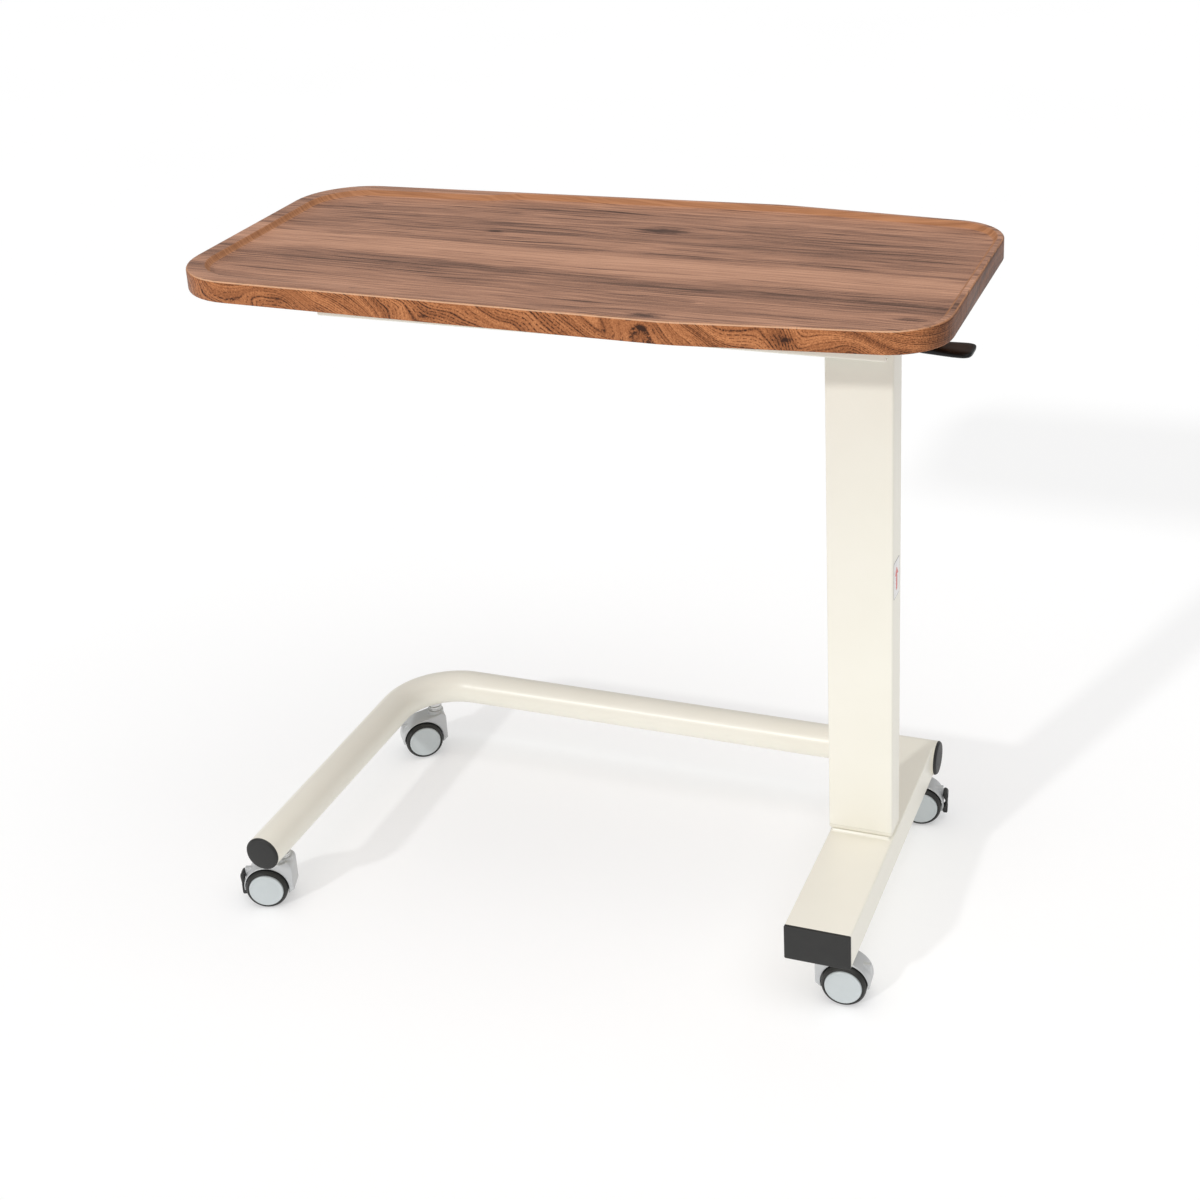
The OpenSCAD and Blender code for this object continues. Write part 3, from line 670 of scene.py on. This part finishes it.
def tabletop():
    """The outer edge and the slope into the recess, then the recess floor and the underside."""
    outer_half = half_outline(-BOARD_L / 2, BOARD_L / 2, CORNER_LEFT, CORNER_RIGHT, half_width)
    recess_half = half_outline(
        -BOARD_L / 2 + RIM_WIDE,
        BOARD_L / 2 - RIM_THIN,
        RECESS_CORNER_LEFT,
        RECESS_CORNER_RIGHT,
        lambda x: half_width(x) - rim(x),
    )
    outer, recess = ring_of(outer_half), ring_of(recess_half)
    edge = [(1.6, 0), (0.5, 0.35), (0, 1.4), (0, 8), (0, 15), (0, 20.4)]
    edge += [(0.2, 21.4), (0.75, 22.25), (1.6, 22.8), (2.6, 23)]
    cove = [(-4.4, 0), (-3.7, -0.12), (-3.1, -0.5), (-2.5, -1.25), (-1.6, -2.8), (-0.6, -4.1)]
    cove += [(0.5, -5.1), (1.8, -5.75), (3.2, -6)]
    rings = [inset_ring(outer, inset, BOARD_LOW + rise) for inset, rise in edge]
    rings += [inset_ring(recess, inset, BOARD_TOP + rise) for inset, rise in cove]
    points, faces = loft(rings, caps=False)
    n = len(outer)
    for ring, start in ((rings[-1], (len(rings) - 1) * n), (rings[0], 0)):
        more, some = filled(ring, len(outer_half))
        base = len(points)
        faces += [tuple(start + i if i < n else base + i - n for i in face) for face in some]
        points += more
    return points, faces


MIDDLE = placed(0, MID_Y, 0)
piece("board", tabletop(), WALNUT, "top", ["tabletop"], MIDDLE, 50)

# ---- Support channel ----

CHANNEL_LEFT, CHANNEL_RIGHT = -302, 318
CHANNEL_W, CHANNEL_H, SHEET, LIP = 80, 59, 2, 8
CHANNEL_Z = 667
FOLD_OUT, FOLD_IN = 3.2, 1.2  # the folds' outer and inner radii
FOLD_STEPS, CHANNEL_STEPS = 5, 12


def channel():
    """The folded sheet's section, its outer line and its inner line joined point for point, along X."""
    outer, inner = [(-CHANNEL_W / 2 + LIP, 0)], [(-CHANNEL_W / 2 + LIP, SHEET)]
    half, top = CHANNEL_W / 2 - FOLD_OUT, CHANNEL_H - FOLD_OUT
    for y, z, start in ((-half, FOLD_OUT, 270), (-half, top, 180), (half, top, 90), (half, FOLD_OUT, 0)):
        for i in range(FOLD_STEPS + 1):
            a = math.radians(start - 90 * i / FOLD_STEPS)
            outer.append((y + FOLD_OUT * math.cos(a), z + FOLD_OUT * math.sin(a)))
            inner.append((y + FOLD_IN * math.cos(a), z + FOLD_IN * math.sin(a)))
    outer.append((CHANNEL_W / 2 - LIP, 0))
    inner.append((CHANNEL_W / 2 - LIP, SHEET))
    section = outer + inner[::-1]
    n = len(outer)
    pitch = (CHANNEL_RIGHT - CHANNEL_LEFT) / CHANNEL_STEPS
    stations = [CHANNEL_LEFT + pitch * i for i in range(CHANNEL_STEPS + 1)]
    points, faces = loft([[(x, y, CHANNEL_Z + z) for y, z in section] for x in stations], caps=False)
    last = len(points) - 2 * n
    for i in range(n - 1):
        faces.append((i + 1, i, 2 * n - 1 - i, 2 * n - 2 - i))
        faces.append((last + i, last + i + 1, last + 2 * n - 2 - i, last + 2 * n - 1 - i))
    return points, faces


piece("channel", channel(), CREAM, "top", ["support_channel"], MIDDLE)

# ---- Column ----

COLUMN_X = 286
AT_COLUMN = placed(COLUMN_X, MID_Y)
SLEEVE_W, SLEEVE_D, SLEEVE_R = 70, 35, 2.6
SLEEVE_LOW, SLEEVE_TOP = 115.5, 684
INNER_W, INNER_D, INNER_R = 61, 26, 2
INNER_LOW, INNER_TOP = 110, 680
WALL = 1.5
PLATE_W, PLATE_D, PLATE_R = 68, 38, 4
GLIDE_W, GLIDE_D = 66.8, 31.8


def box_tube(w, d, r, low, high, stations=9):
    """A rectangular tube with slightly broken end edges."""
    chamfer = 0.35
    profile = [(chamfer, low), (0, low + chamfer)]
    profile += [(0, low + (high - low) * i / stations) for i in range(1, stations)]
    profile += [(0, high - chamfer), (chamfer, high), (WALL, high), (WALL, low)]
    return stacked(w, d, r, profile, caps=False, loop=True)


def end_bush():
    """The collar that closes the sleeve's lower end and stands a little below it."""
    profile = [(0.8, 111.5), (0.2, 111.7), (0, 112.3), (0, 114.9), (0.25, 115.4), (1.55, 115.4)]
    profile += [(1.55, 145.5), (4.3, 145.5), (4.35, 111.9), (4.0, 111.5)]
    return stacked(SLEEVE_W, SLEEVE_D, 2.5, profile, caps=False, loop=True)


def weld_plate():
    """The plate under the column, its edge hollowed like a weld bead."""
    profile = [(0.2, 106.9), (0.6, 107.25), (1.3, 107.7), (1.9, 108.5)]
    profile += [(2.2, 109.3), (2.5, 109.7), (3.2, 110)]
    return stacked(PLATE_W, PLATE_D, PLATE_R, profile)


def glide_ring():
    """The plastic ring round the inner column's top."""
    profile = [(0.4, 650), (0, 650.6), (0, 679.4), (0.4, 680), (2.9, 680), (2.9, 650)]
    return stacked(GLIDE_W, GLIDE_D, 1, profile, caps=False, loop=True)


sleeve = box_tube(SLEEVE_W, SLEEVE_D, SLEEVE_R, SLEEVE_LOW, SLEEVE_TOP)
inner_tube = box_tube(INNER_W, INNER_D, INNER_R, INNER_LOW, INNER_TOP)
piece("sleeve", sleeve, CREAM, "top", ["column_sleeve"], AT_COLUMN)
piece("inner_tube", inner_tube, CREAM, "base", ["inner_column"], AT_COLUMN)
piece("end_bush", end_bush(), CREAM_PLASTIC, "top", ["sleeve_end_bush"], AT_COLUMN)
piece("base_weld_plate", weld_plate(), CREAM, "base", ["base_plate"], AT_COLUMN)
piece("glide_collar", glide_ring(), GLIDE, "base", ["upper_glides"], AT_COLUMN)

LABEL_W, LABEL_H, LABEL_R, LABEL_EDGE = 24, 42, 2, 0.9
FILM, ARROW_LOW, ARROW_TOP = 0.2, 0.15, 0.27  # heights above the sleeve
ARROW_REACH = 6.8  # a little over half the arrow's width


def label():
    """A sticker with rounded corners, and a plain arrow standing just proud of it."""
    sticker = stacked(LABEL_W, LABEL_H, LABEL_R, [(0, 0.02), (0, 0.12), (LABEL_EDGE, FILM)])
    arrow = [(0, 13), (6.5, 4), (2.4, 4), (2.4, -13), (-2.4, -13), (-2.4, 4), (-6.5, 4)]
    points, faces = loft([[(x, y, z) for x, y in arrow] for z in (ARROW_LOW, ARROW_TOP)], caps=False)
    n = len(arrow)
    faces += [(n, n + 1, n + 6), (n + 2, n + 3, n + 4, n + 5), (n + 1, n + 2, n + 5, n + 6)]
    upright = Matrix(((0, 0, 1, 0), (1, 0, 0, 0), (0, 1, 0, 0), (0, 0, 0, 1)))
    return moved(joined(sticker, (points, faces)), upright)


def colour_label(made):
    """Gives the sticker's sloping edge and the arrow their own inks."""
    made.data.materials.append(LABEL_RED)
    made.data.materials.append(LABEL_GREY)
    for face in made.data.polygons:
        corners = [made.data.vertices[i].co for i in face.vertices]
        lowest = (min(p.x for p in corners) - label_low.x) / MM
        highest = (max(p.x for p in corners) - label_low.x) / MM
        spread = max(abs(p.y - AT_LABEL.translation.y) for p in corners) / MM
        if len(corners) == 4 and highest < FILM + 0.01:
            face.material_index = 2
        if len(corners) <= 4 and lowest > ARROW_LOW - 0.01 and spread < ARROW_REACH:
            face.material_index = 1


label_low, label_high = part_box("arrow_label")
label_mid = (label_low + label_high) / 2
AT_LABEL = Matrix.Translation((label_low.x, label_mid.y, label_mid.z))
colour_label(piece("arrow_sticker", label(), LABEL, "top", ["arrow_label"], AT_LABEL, 20))

# ---- Foot and tube ----

FOOT_W, FOOT_H, BASE_Z, FOOT_FRONT = 70, 40, 67, 196
AT_FOOT = placed(COLUMN_X + 1, MID_Y)
TUBE_Z, TUBE_BACK, TUBE_R, TUBE_WALL = 87, 190, 20, 2
FOOT_WALL, EDGE_BREAK, STATIONS_END = 2.5, 0.35, 160
COPE_GAP, CAP_T = 0.05, 4


def foot():
    """A box section along Y whose back end is coped round the tube."""

    def ring(trim, r, y, cope=False):
        w, h = FOOT_W - trim, FOOT_H - trim
        corners = rounded_rect(w, h, r, 5)
        points = []
        for i, (x, z) in enumerate(corners):
            nx, nz = corners[(i + 1) % len(corners)]
            parts = 10 if abs(nz - z) > h / 2 else 4 if abs(nx - x) > w / 2 else 1
            points += [(x + (nx - x) * k / parts, z + (nz - z) * k / parts) for k in range(parts)]
        result = []
        for x, z in points:
            height = BASE_Z + FOOT_H / 2 + z
            reach = math.sqrt(max((TUBE_R + COPE_GAP) ** 2 - (height - TUBE_Z) ** 2, 0))
            result.append((x, TUBE_BACK - reach if cope else y, height))
        return result

    front = CAP_T - FOOT_FRONT
    outer = [ring(2 * EDGE_BREAK, 1.8, front)]
    outer += [ring(0, 2.0, front + EDGE_BREAK + (STATIONS_END - front) * i / 9) for i in range(10)]
    outer += [ring(0, 2.0, 0, True)]
    inner = [ring(2 * FOOT_WALL, 1, 0, True), ring(2 * FOOT_WALL, 1, front)]
    return loft(outer + inner, loop=True)


piece("foot_tube", foot(), CREAM, "base", ["foot_beam"], AT_FOOT)


def foot_end():
    """A push-in cap: plug, broken edges and a slightly crowned face."""
    profile = [(2.6, -15), (2.6, -0.2), (0.3, -0.2), (0, 0.1), (0, 2.7), (0.2, 3.2), (0.7, 3.5), (1.4, 3.6)]
    cap = crowned(FOOT_W, FOOT_H, 1.7, profile, CAP_T - 3.6)
    return moved(cap, at(0, CAP_T - FOOT_FRONT, BASE_Z + FOOT_H / 2) @ TO_FRONT)


piece("foot_end_cap", foot_end(), CHARCOAL, "base", ["foot_cap"], AT_FOOT)

LEG_X, LEG_FRONT, BEND_R = -349, 218, 75
TUBE_RIGHT = COLUMN_X + FOOT_W / 2 + 3
BACK_STEPS, BEND_STEPS, LEG_STEPS = 20, 24, 16
CREASE_AT, CREASE, THINNED = (5, 3, 1.5), 0.10, 0.12


def bent_tube():
    """The C-shaped tube, faintly creased where the bend starts and ends and a little thin round it."""
    back_x, bend_y = LEG_X + BEND_R, TUBE_BACK - BEND_R
    path, swell = [], []

    def station(x, y, offset=0.0):
        path.append((x, y, TUBE_Z))
        swell.append(TUBE_R + offset)

    for i in range(BACK_STEPS + 1):
        station(TUBE_RIGHT - (TUBE_RIGHT - back_x - 8) * i / BACK_STEPS, TUBE_BACK)
    for ahead in CREASE_AT:
        station(back_x + ahead, TUBE_BACK, -CREASE if ahead == CREASE_AT[1] else 0)
    for i in range(BEND_STEPS + 1):
        a = math.radians(90 + 90 * i / BEND_STEPS)
        thinned = -THINNED * math.sin(math.pi * i / BEND_STEPS)
        station(back_x + BEND_R * math.cos(a), bend_y + BEND_R * math.sin(a), thinned)
    for behind in reversed(CREASE_AT):
        station(LEG_X, bend_y - behind, -CREASE if behind == CREASE_AT[1] else 0)
    end = CAP_T - LEG_FRONT
    for i in range(LEG_STEPS + 1):
        station(LEG_X, bend_y - 8 - (bend_y - 8 - end) * i / LEG_STEPS)
    outer = swept(path, swell, 56)
    inner = swept(path, TUBE_R - TUBE_WALL, 56)
    return loft(outer + inner[::-1], loop=True)


piece("bent_tube", bent_tube(), CREAM, "base", ["base_tube"], MIDDLE)


def tube_plug():
    """A push-in cap: plug, thin flange, shallow groove and a slightly domed face."""
    profile = [(0, -15), (16.6, -15), (17.4, -14.2), (17.5, -0.2), (19.6, -0.2), (19.95, 0.1), (20, 0.6)]
    profile += [(19.95, 1.3), (19.6, 1.6), (19.2, 1.75), (19.1, 2.0), (18.9, 2.6), (18.3, 3.1), (17.2, 3.35)]
    profile += [(14, 3.6), (9, 3.85), (4, 3.97), (0, 4.0)]
    return revolve(profile)


front_cap = moved(tube_plug(), at(LEG_X, CAP_T - LEG_FRONT, TUBE_Z) @ TO_FRONT)
rear_cap = moved(tube_plug(), at(TUBE_RIGHT, TUBE_BACK, TUBE_Z) @ TO_X)
piece("tube_end_front", front_cap, CHARCOAL, "base", ["tube_cap_front"], MIDDLE)
piece("tube_end_rear", rear_cap, CHARCOAL, "base", ["tube_cap_rear"], MIDDLE)

# ---- Lever ----

DISH, DISH_FROM, DISH_OVER = 1.1, 352, 20  # the grip's hollow, where it starts and how soon it is full


def grip():
    """A flat paddle: narrow at the root, wide and rounded at the tip, dished on top."""
    spine = (
        # x, half width, low, high
        (343.2, 9.4, 668.4, 675.6),
        (343.6, 10.4, 667.6, 676.4),
        (346, 11.0, 667.2, 676.8),
        (352, 11.8, 667.1, 676.7),
        (360, 13.4, 667.1, 676.4),
        (370, 15.4, 667.1, 676.0),
        (379, 16.9, 667.2, 675.7),
        (386, 17.6, 667.4, 675.5),
        (390.4, 17.2, 667.7, 675.3),
        (393.4, 15.8, 668.2, 674.9),
        (395.2, 13.2, 669.0, 674.3),
        (396, 9.0, 670.2, 673.3),
    )
    rings = []
    for x, half, low, high in spine:
        ring = []
        middle, tall = (low + high) / 2, (high - low) / 2
        for j in range(32):
            a = 2 * math.pi * j / 32
            c, s = math.cos(a), math.sin(a)
            y = half * math.copysign(abs(c) ** 0.62, c)
            z = tall * math.copysign(abs(s) ** 0.8, s)
            begun = min(max((x - DISH_FROM) / DISH_OVER, 0), 1)
            dish = DISH * max(1 - (y / half) ** 2, 0) * begun if s > 0 else 0
            ring.append((x, y, middle + z - dish))
        rings.append(ring)
    return loft(rings)


made = piece("grip", grip(), GRIP_BLACK, "lever", ["lever_grip"], MIDDLE, 80)
soft = made.modifiers.new("soft", "SUBSURF")
soft.levels = soft.render_levels = 2

# ---- Casters, drawn with the stem on the origin and the wheels trailing towards +X ----

TRAIL, WHEEL_R, WHEEL_IN = 20, 24, 4  # WHEEL_IN is each wheel's inner face, from the middle
HOOD_IN, HOOD_OUT, HOOD_W = 24.9, 26.6, 28
HOOD_BACK, HOOD_TOP = 11, 58
HOOD_FROM, HOOD_TO, HOOD_STEPS = -6.0, 197.0, 72  # degrees round the wheel, 0 being away from the stem
SHOULDER = math.radians(78)  # where the hood leaves the fender's arc
CORNER_R, CHAMFER_REACH, CHAMFER_WAY = 8, 22.3, (-0.646, -0.764)
WEB_HALF, WEB_R = 2.5, 22.2


def hood_reach(c, s, angle):
    """How far the hood reaches from the wheel's middle along (c, s), the direction at this angle."""
    if angle <= SHOULDER:
        return HOOD_OUT
    # A straight shoulder leaves the fender, then come the flat top, the back and the chamfer under the back.
    shoulder = math.cos(angle - SHOULDER)
    reach = HOOD_OUT / shoulder if shoulder > 0.2 else 5 * HOOD_OUT
    if s > 0:
        reach = min(reach, (HOOD_TOP - WHEEL_R) / s)
    reach = min(reach, (TRAIL + HOOD_BACK) / max(-c, 0.01))
    reach = min(reach, CHAMFER_REACH / max(CHAMFER_WAY[0] * c + CHAMFER_WAY[1] * s, 0.01))
    # The corner between the top and the back is rounded.
    mid_x, mid_z = CORNER_R - TRAIL - HOOD_BACK, HOOD_TOP - WHEEL_R - CORNER_R
    if reach * c < mid_x and reach * s > mid_z:
        along = c * mid_x + s * mid_z
        reach = along + math.sqrt(max(along * along - mid_x**2 - mid_z**2 + CORNER_R**2, 0))
    return reach


def hood_outline():
    """The hood from the side: a fender over the wheel that grows into the stem's block."""
    inner, outer = [], []
    for i in range(HOOD_STEPS + 1):
        angle = math.radians(HOOD_FROM + (HOOD_TO - HOOD_FROM) * i / HOOD_STEPS)
        c, s = math.cos(angle), math.sin(angle)
        reach = hood_reach(c, s, angle)
        inner.append((TRAIL + HOOD_IN * c, WHEEL_R + HOOD_IN * s))
        outer.append((TRAIL + reach * c, WHEEL_R + reach * s))
    return inner, outer


def fender():
    """The hood's outline through its width, with rounded edges at both sides.

    Each layer is a share of half the width, and how far its outer line is pulled in.
    """
    inner, outer = hood_outline()
    n = len(inner)
    layers = []
    for share, pull in ((-1, 1.3), (-0.97, 0.5), (-0.9, 0.0), (0.9, 0.0), (0.97, 0.5), (1, 1.3)):
        y = HOOD_W / 2 * share
        near, far = [], []
        for (ix, iz), (ox, oz) in zip(inner, outer):
            d = Vector((ox - ix, oz - iz))
            d = d.normalized() * min(pull, d.length * 0.3)
            near.append((ix + d.x * 0.3, y, iz + d.y * 0.3))
            far.append((ox - d.x, y, oz - d.y))
        layers.append(near + far[::-1])
    points, faces = loft(layers, caps=False)
    last = len(points) - 2 * n
    for i in range(n - 1):
        faces.append((i, i + 1, 2 * n - 2 - i, 2 * n - 1 - i))
        faces.append((last + i + 1, last + i, last + 2 * n - 1 - i, last + 2 * n - 2 - i))
    return points, faces


def slab(outline):
    """An outline in X and Z, as thick as the web."""
    return loft([[(x, y, z) for x, z in outline] for y in (-WEB_HALF, WEB_HALF)])


def hood(braked):
    """One moulding: fender, block, neck, the web between the wheels and, with a brake, its arm."""
    neck = [(0, 44), (10.4, 44), (10.4, 57.6), (10.1, 58.6), (9.6, 59.0), (9.0, 59.2), (0, 59.2)]
    web = revolve([(0, -WEB_HALF), (WEB_R, -WEB_HALF), (WEB_R, WEB_HALF), (0, WEB_HALF)], 48)
    bridge = slab([(-26, 0), (26, 0), (26, 20), (-26, 20)])
    at_wheel = at(TRAIL, 0, WHEEL_R)
    parts = [fender(), revolve(neck, 40), moved(web, at_wheel @ TO_Y), moved(bridge, at_wheel)]
    if braked:
        parts.append(slab([(32, 26), (32, 12), (46.5, 10.4), (50.2, 12.2), (50.2, 15.8), (46.5, 17.6)]))
    return joined(*parts)


def tyre():
    """Tread with rounded shoulders, and a ridge round the side next to the disc. The inner face is at 0."""
    profile = [(18, 0.2), (21.4, 0), (22.6, 0.35), (23.5, 1.3), (23.9, 2.6), (24, 4.5), (24, 10.2)]
    profile += [(23.88, 11.6), (23.5, 12.9), (22.9, 13.9), (22.5, 14.25), (22.3, 14.55), (22.0, 14.95)]
    profile += [(21.5, 15.25), (20.9, 15.3), (20.3, 15.15), (20.05, 14.8), (20.0, 14), (18, 14)]
    return revolve(profile, 72, loop=True)


def disc():
    """The wheel's centre: a hub behind, and in front a raised rim, a shallow cone and a dimple."""
    front = [(17.9, 14.1), (19.9, 14.1), (19.85, 14.9), (19.4, 15.9), (19.0, 16.35), (18.6, 16.5)]
    front += [(18.2, 16.46), (17.9, 16.3), (14, 16.5), (8, 16.8), (3, 16.94)]
    front += [(2.2, 17.0), (1.2, 16.8), (0, 16.75)]
    back = [(0, 12.0), (3.1, 12.0), (3.1, 0.2), (17.6, 0.2), (17.9, 0.5)]
    return revolve(back + front, 72)


def stem():
    """The swivel stem: a collar with a groove, on a pin that ends inside the socket."""
    profile = [(0, 47), (4.6, 47), (5, 47.4), (5, 59.2), (8.1, 59.3), (8.5, 59.7), (8.5, 61.2), (7.9, 61.5)]
    profile += [(7.9, 62.1), (8.5, 62.4), (8.5, 64.0), (8.0, 64.4), (5.0, 64.5)]
    profile += [(5, 82.2), (4.4, 83), (0, 83)]
    return revolve(profile, 48)


def pedal():
    """A forked rocker: two cheeks beside the arm, a blade off the fender, and a thick knob on top."""
    cheek = [(45.5, 12.4), (46.6, 10.7), (50.4, 10.7), (51.3, 12.4)]
    cheek += [(51.3, 24), (48.9, 24), (47.7, 19.6), (45.7, 17)]
    parts = [loft([[(x, y + side, z) for x, z in cheek] for side in (0, 2.6)]) for y in (2.9, -5.5)]
    spine = (
        # height, nearest to and furthest from the stem, half width, crown
        (11.2, 47.2, 49.4, 4.6, 0.2),
        (13.4, 47.0, 51.0, 5.2, 0.5),
        (16.4, 47.9, 51.2, 5.5, 0.6),
        (20.0, 48.9, 50.9, 5.7, 0.7),
        (24.0, 49.1, 50.8, 5.9, 0.8),
        (27.4, 48.6, 50.9, 6.2, 0.9),
        (29.8, 47.4, 51.0, 6.6, 1.2),
        (32.2, 46.3, 51.1, 6.9, 1.5),
        (34.8, 45.7, 51.1, 7.0, 1.5),
        (36.9, 45.7, 50.7, 6.9, 1.4),
        (38.3, 46.3, 49.9, 6.4, 1.0),
        (39.0, 47.1, 48.9, 5.4, 0.5),
    )
    blade = []
    for z, near, far, half, crown in spine:
        middle, thick = (near + far) / 2, (far - near) / 2
        ring = []
        for u, v in rounded_rect(2 * thick, 2 * half, min(thick, half) * 0.8, 6):
            swell = crown * (1 - (v / half) ** 2) if u > 0 else 0
            ring.append((middle + u + swell, v, z))
        blade.append(ring)
    return joined(*parts, loft(blade))


TYRE_MESH, DISC_MESH = mesh_of("tyre", tyre()), mesh_of("disc", disc())
HOODS = {braked: mesh_of("hood", hood(braked), 0.6, 4) for braked in (False, True)}
PEDAL_MESH = mesh_of("pedal", pedal(), 0.35, 3)
STEM_MESH = mesh_of("stem", stem())


def caster_place(name):
    """On the floor under the stem, turned so that +X runs from the stem to the axle."""
    stem_low, stem_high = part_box(name + "_stem")
    axle_low, axle_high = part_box(name + "_axle")
    stem_mid, axle_mid = (stem_low + stem_high) / 2, (axle_low + axle_high) / 2
    trail_way = math.atan2(axle_mid.y - stem_mid.y, axle_mid.x - stem_mid.x)
    return Matrix.Translation((stem_mid.x, stem_mid.y, 0)) @ Matrix.Rotation(trail_way, 4, "Z")


def wheel(name, letter, side, place):
    """One tyre and its disc, on side -1 or 1 of the caster's middle."""
    turned = place @ placed(TRAIL, side * WHEEL_IN, WHEEL_R) @ turn(-side * 90, "X")
    body = f"{name}_wheel_{letter}"
    piece(f"{name}_tread_{letter}", TYRE_MESH, TYRE, body, [f"{name}_tyre_{letter}"], turned)
    piece(f"{name}_disc_{letter}", DISC_MESH, DISC, body, [f"{name}_hub_{letter}"], turned)


def caster(name):
    place, body, braked = caster_place(name), "caster_" + name, name in BRAKED
    piece(name + "_fork", HOODS[braked], HOOD, body, [name + "_hood"], place, 0)
    piece(name + "_swivel_stem", STEM_MESH, ZINC, body, [name + "_stem"], place)
    wheel(name, "a", -1, place)
    wheel(name, "b", 1, place)
    if braked:
        lever, nodes = name + "_brake_lever", [name + "_pedal"]
        piece(lever, PEDAL_MESH, PEDAL_BLACK, name + "_brake", nodes, place, 0)


for name in CASTERS:
    caster(name)

# ---- CAD pieces that stay: a fine bevel and their finish ----

FINISHES = {
    "tabletop_screws": ZINC,
    "top_bracket": CREAM,
    "bracket_bolts": ZINC,
    "gas_cylinder": GAS_BLACK,
    "gas_guide": GLIDE,
    "gas_foot_pin": ZINC,
    "gas_rod": CHROME,
    "gas_piston": GLIDE,
    "rod_nuts": ZINC,
    "release_pin": ZINC,
    "lever_arm": ZINC,
    "lever_pivot_pin": ZINC,
    "caster_sockets": ZINC,
}
FINISHES.update({name + "_axle": ZINC for name in CASTERS})
FINISHES.update({name + "_pedal_pin": GAS_BLACK for name in BRAKED})
EDGE_W, EDGE_SHARPER_THAN = 0.4, 40

for name, material in FINISHES.items():
    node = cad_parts[name]
    node.data.materials.clear()
    node.data.materials.append(material)
    edge = node.modifiers.new("edge", "BEVEL")
    edge.width, edge.segments = EDGE_W * MM, 2
    edge.limit_method, edge.angle_limit = "ANGLE", math.radians(EDGE_SHARPER_THAN)

# ---- Stage and light ----

FLOOR_HALF, FLOOR_GLOW = 7, 0.40
SKY = 0.48


def stage():
    """A pale floor that glows a little, so that it stays near white under the table."""
    data = bpy.data.meshes.new("floor")
    corners = [(x * FLOOR_HALF, y * FLOOR_HALF, 0) for x, y in ((-1, -1), (1, -1), (1, 1), (-1, 1))]
    data.from_pydata(corners, [], [(0, 1, 2, 3)])
    look = Look("floor", Roughness=0.6, Emission_Color=(1, 1, 1, 1), Emission_Strength=FLOOR_GLOW)
    cloud = look.noise(look.spot, 1.5, 3)
    data.materials.append(look.finish(look.mix(cloud, (0.61, 0.61, 0.61), (0.63, 0.63, 0.63))))
    floor = bpy.data.objects.new("floor", data)
    bpy.context.scene.collection.objects.link(floor)


def soft_sun(name, azimuth, elevation, softness, strength):
    """Even light from one side, in degrees. Azimuth 0 comes from the front and 90 from the right."""
    data = bpy.data.lights.new(name, "SUN")
    data.energy, data.angle = strength, math.radians(softness)
    a, e = math.radians(azimuth), math.radians(elevation)
    back = Vector((math.sin(a) * math.cos(e), -math.cos(a) * math.cos(e), math.sin(e)))
    made = bpy.data.objects.new(name, data)
    made.location = back * 4
    made.rotation_euler = back.to_track_quat("Z", "Y").to_euler()
    bpy.context.scene.collection.objects.link(made)


stage()
soft_sun("key", -20, 28, 3, 1.02)
soft_sun("high", -30, 60, 45, 0.20)
soft_sun("top", 60, 70, 50, 1.00)
world = bpy.data.worlds.new("studio")
world.use_nodes = True
background = world.node_tree.nodes["Background"]
background.inputs["Color"].default_value = (1, 1, 1, 1)
background.inputs["Strength"].default_value = SKY
bpy.context.scene.world = world
bpy.context.scene.view_settings.view_transform = "Standard"
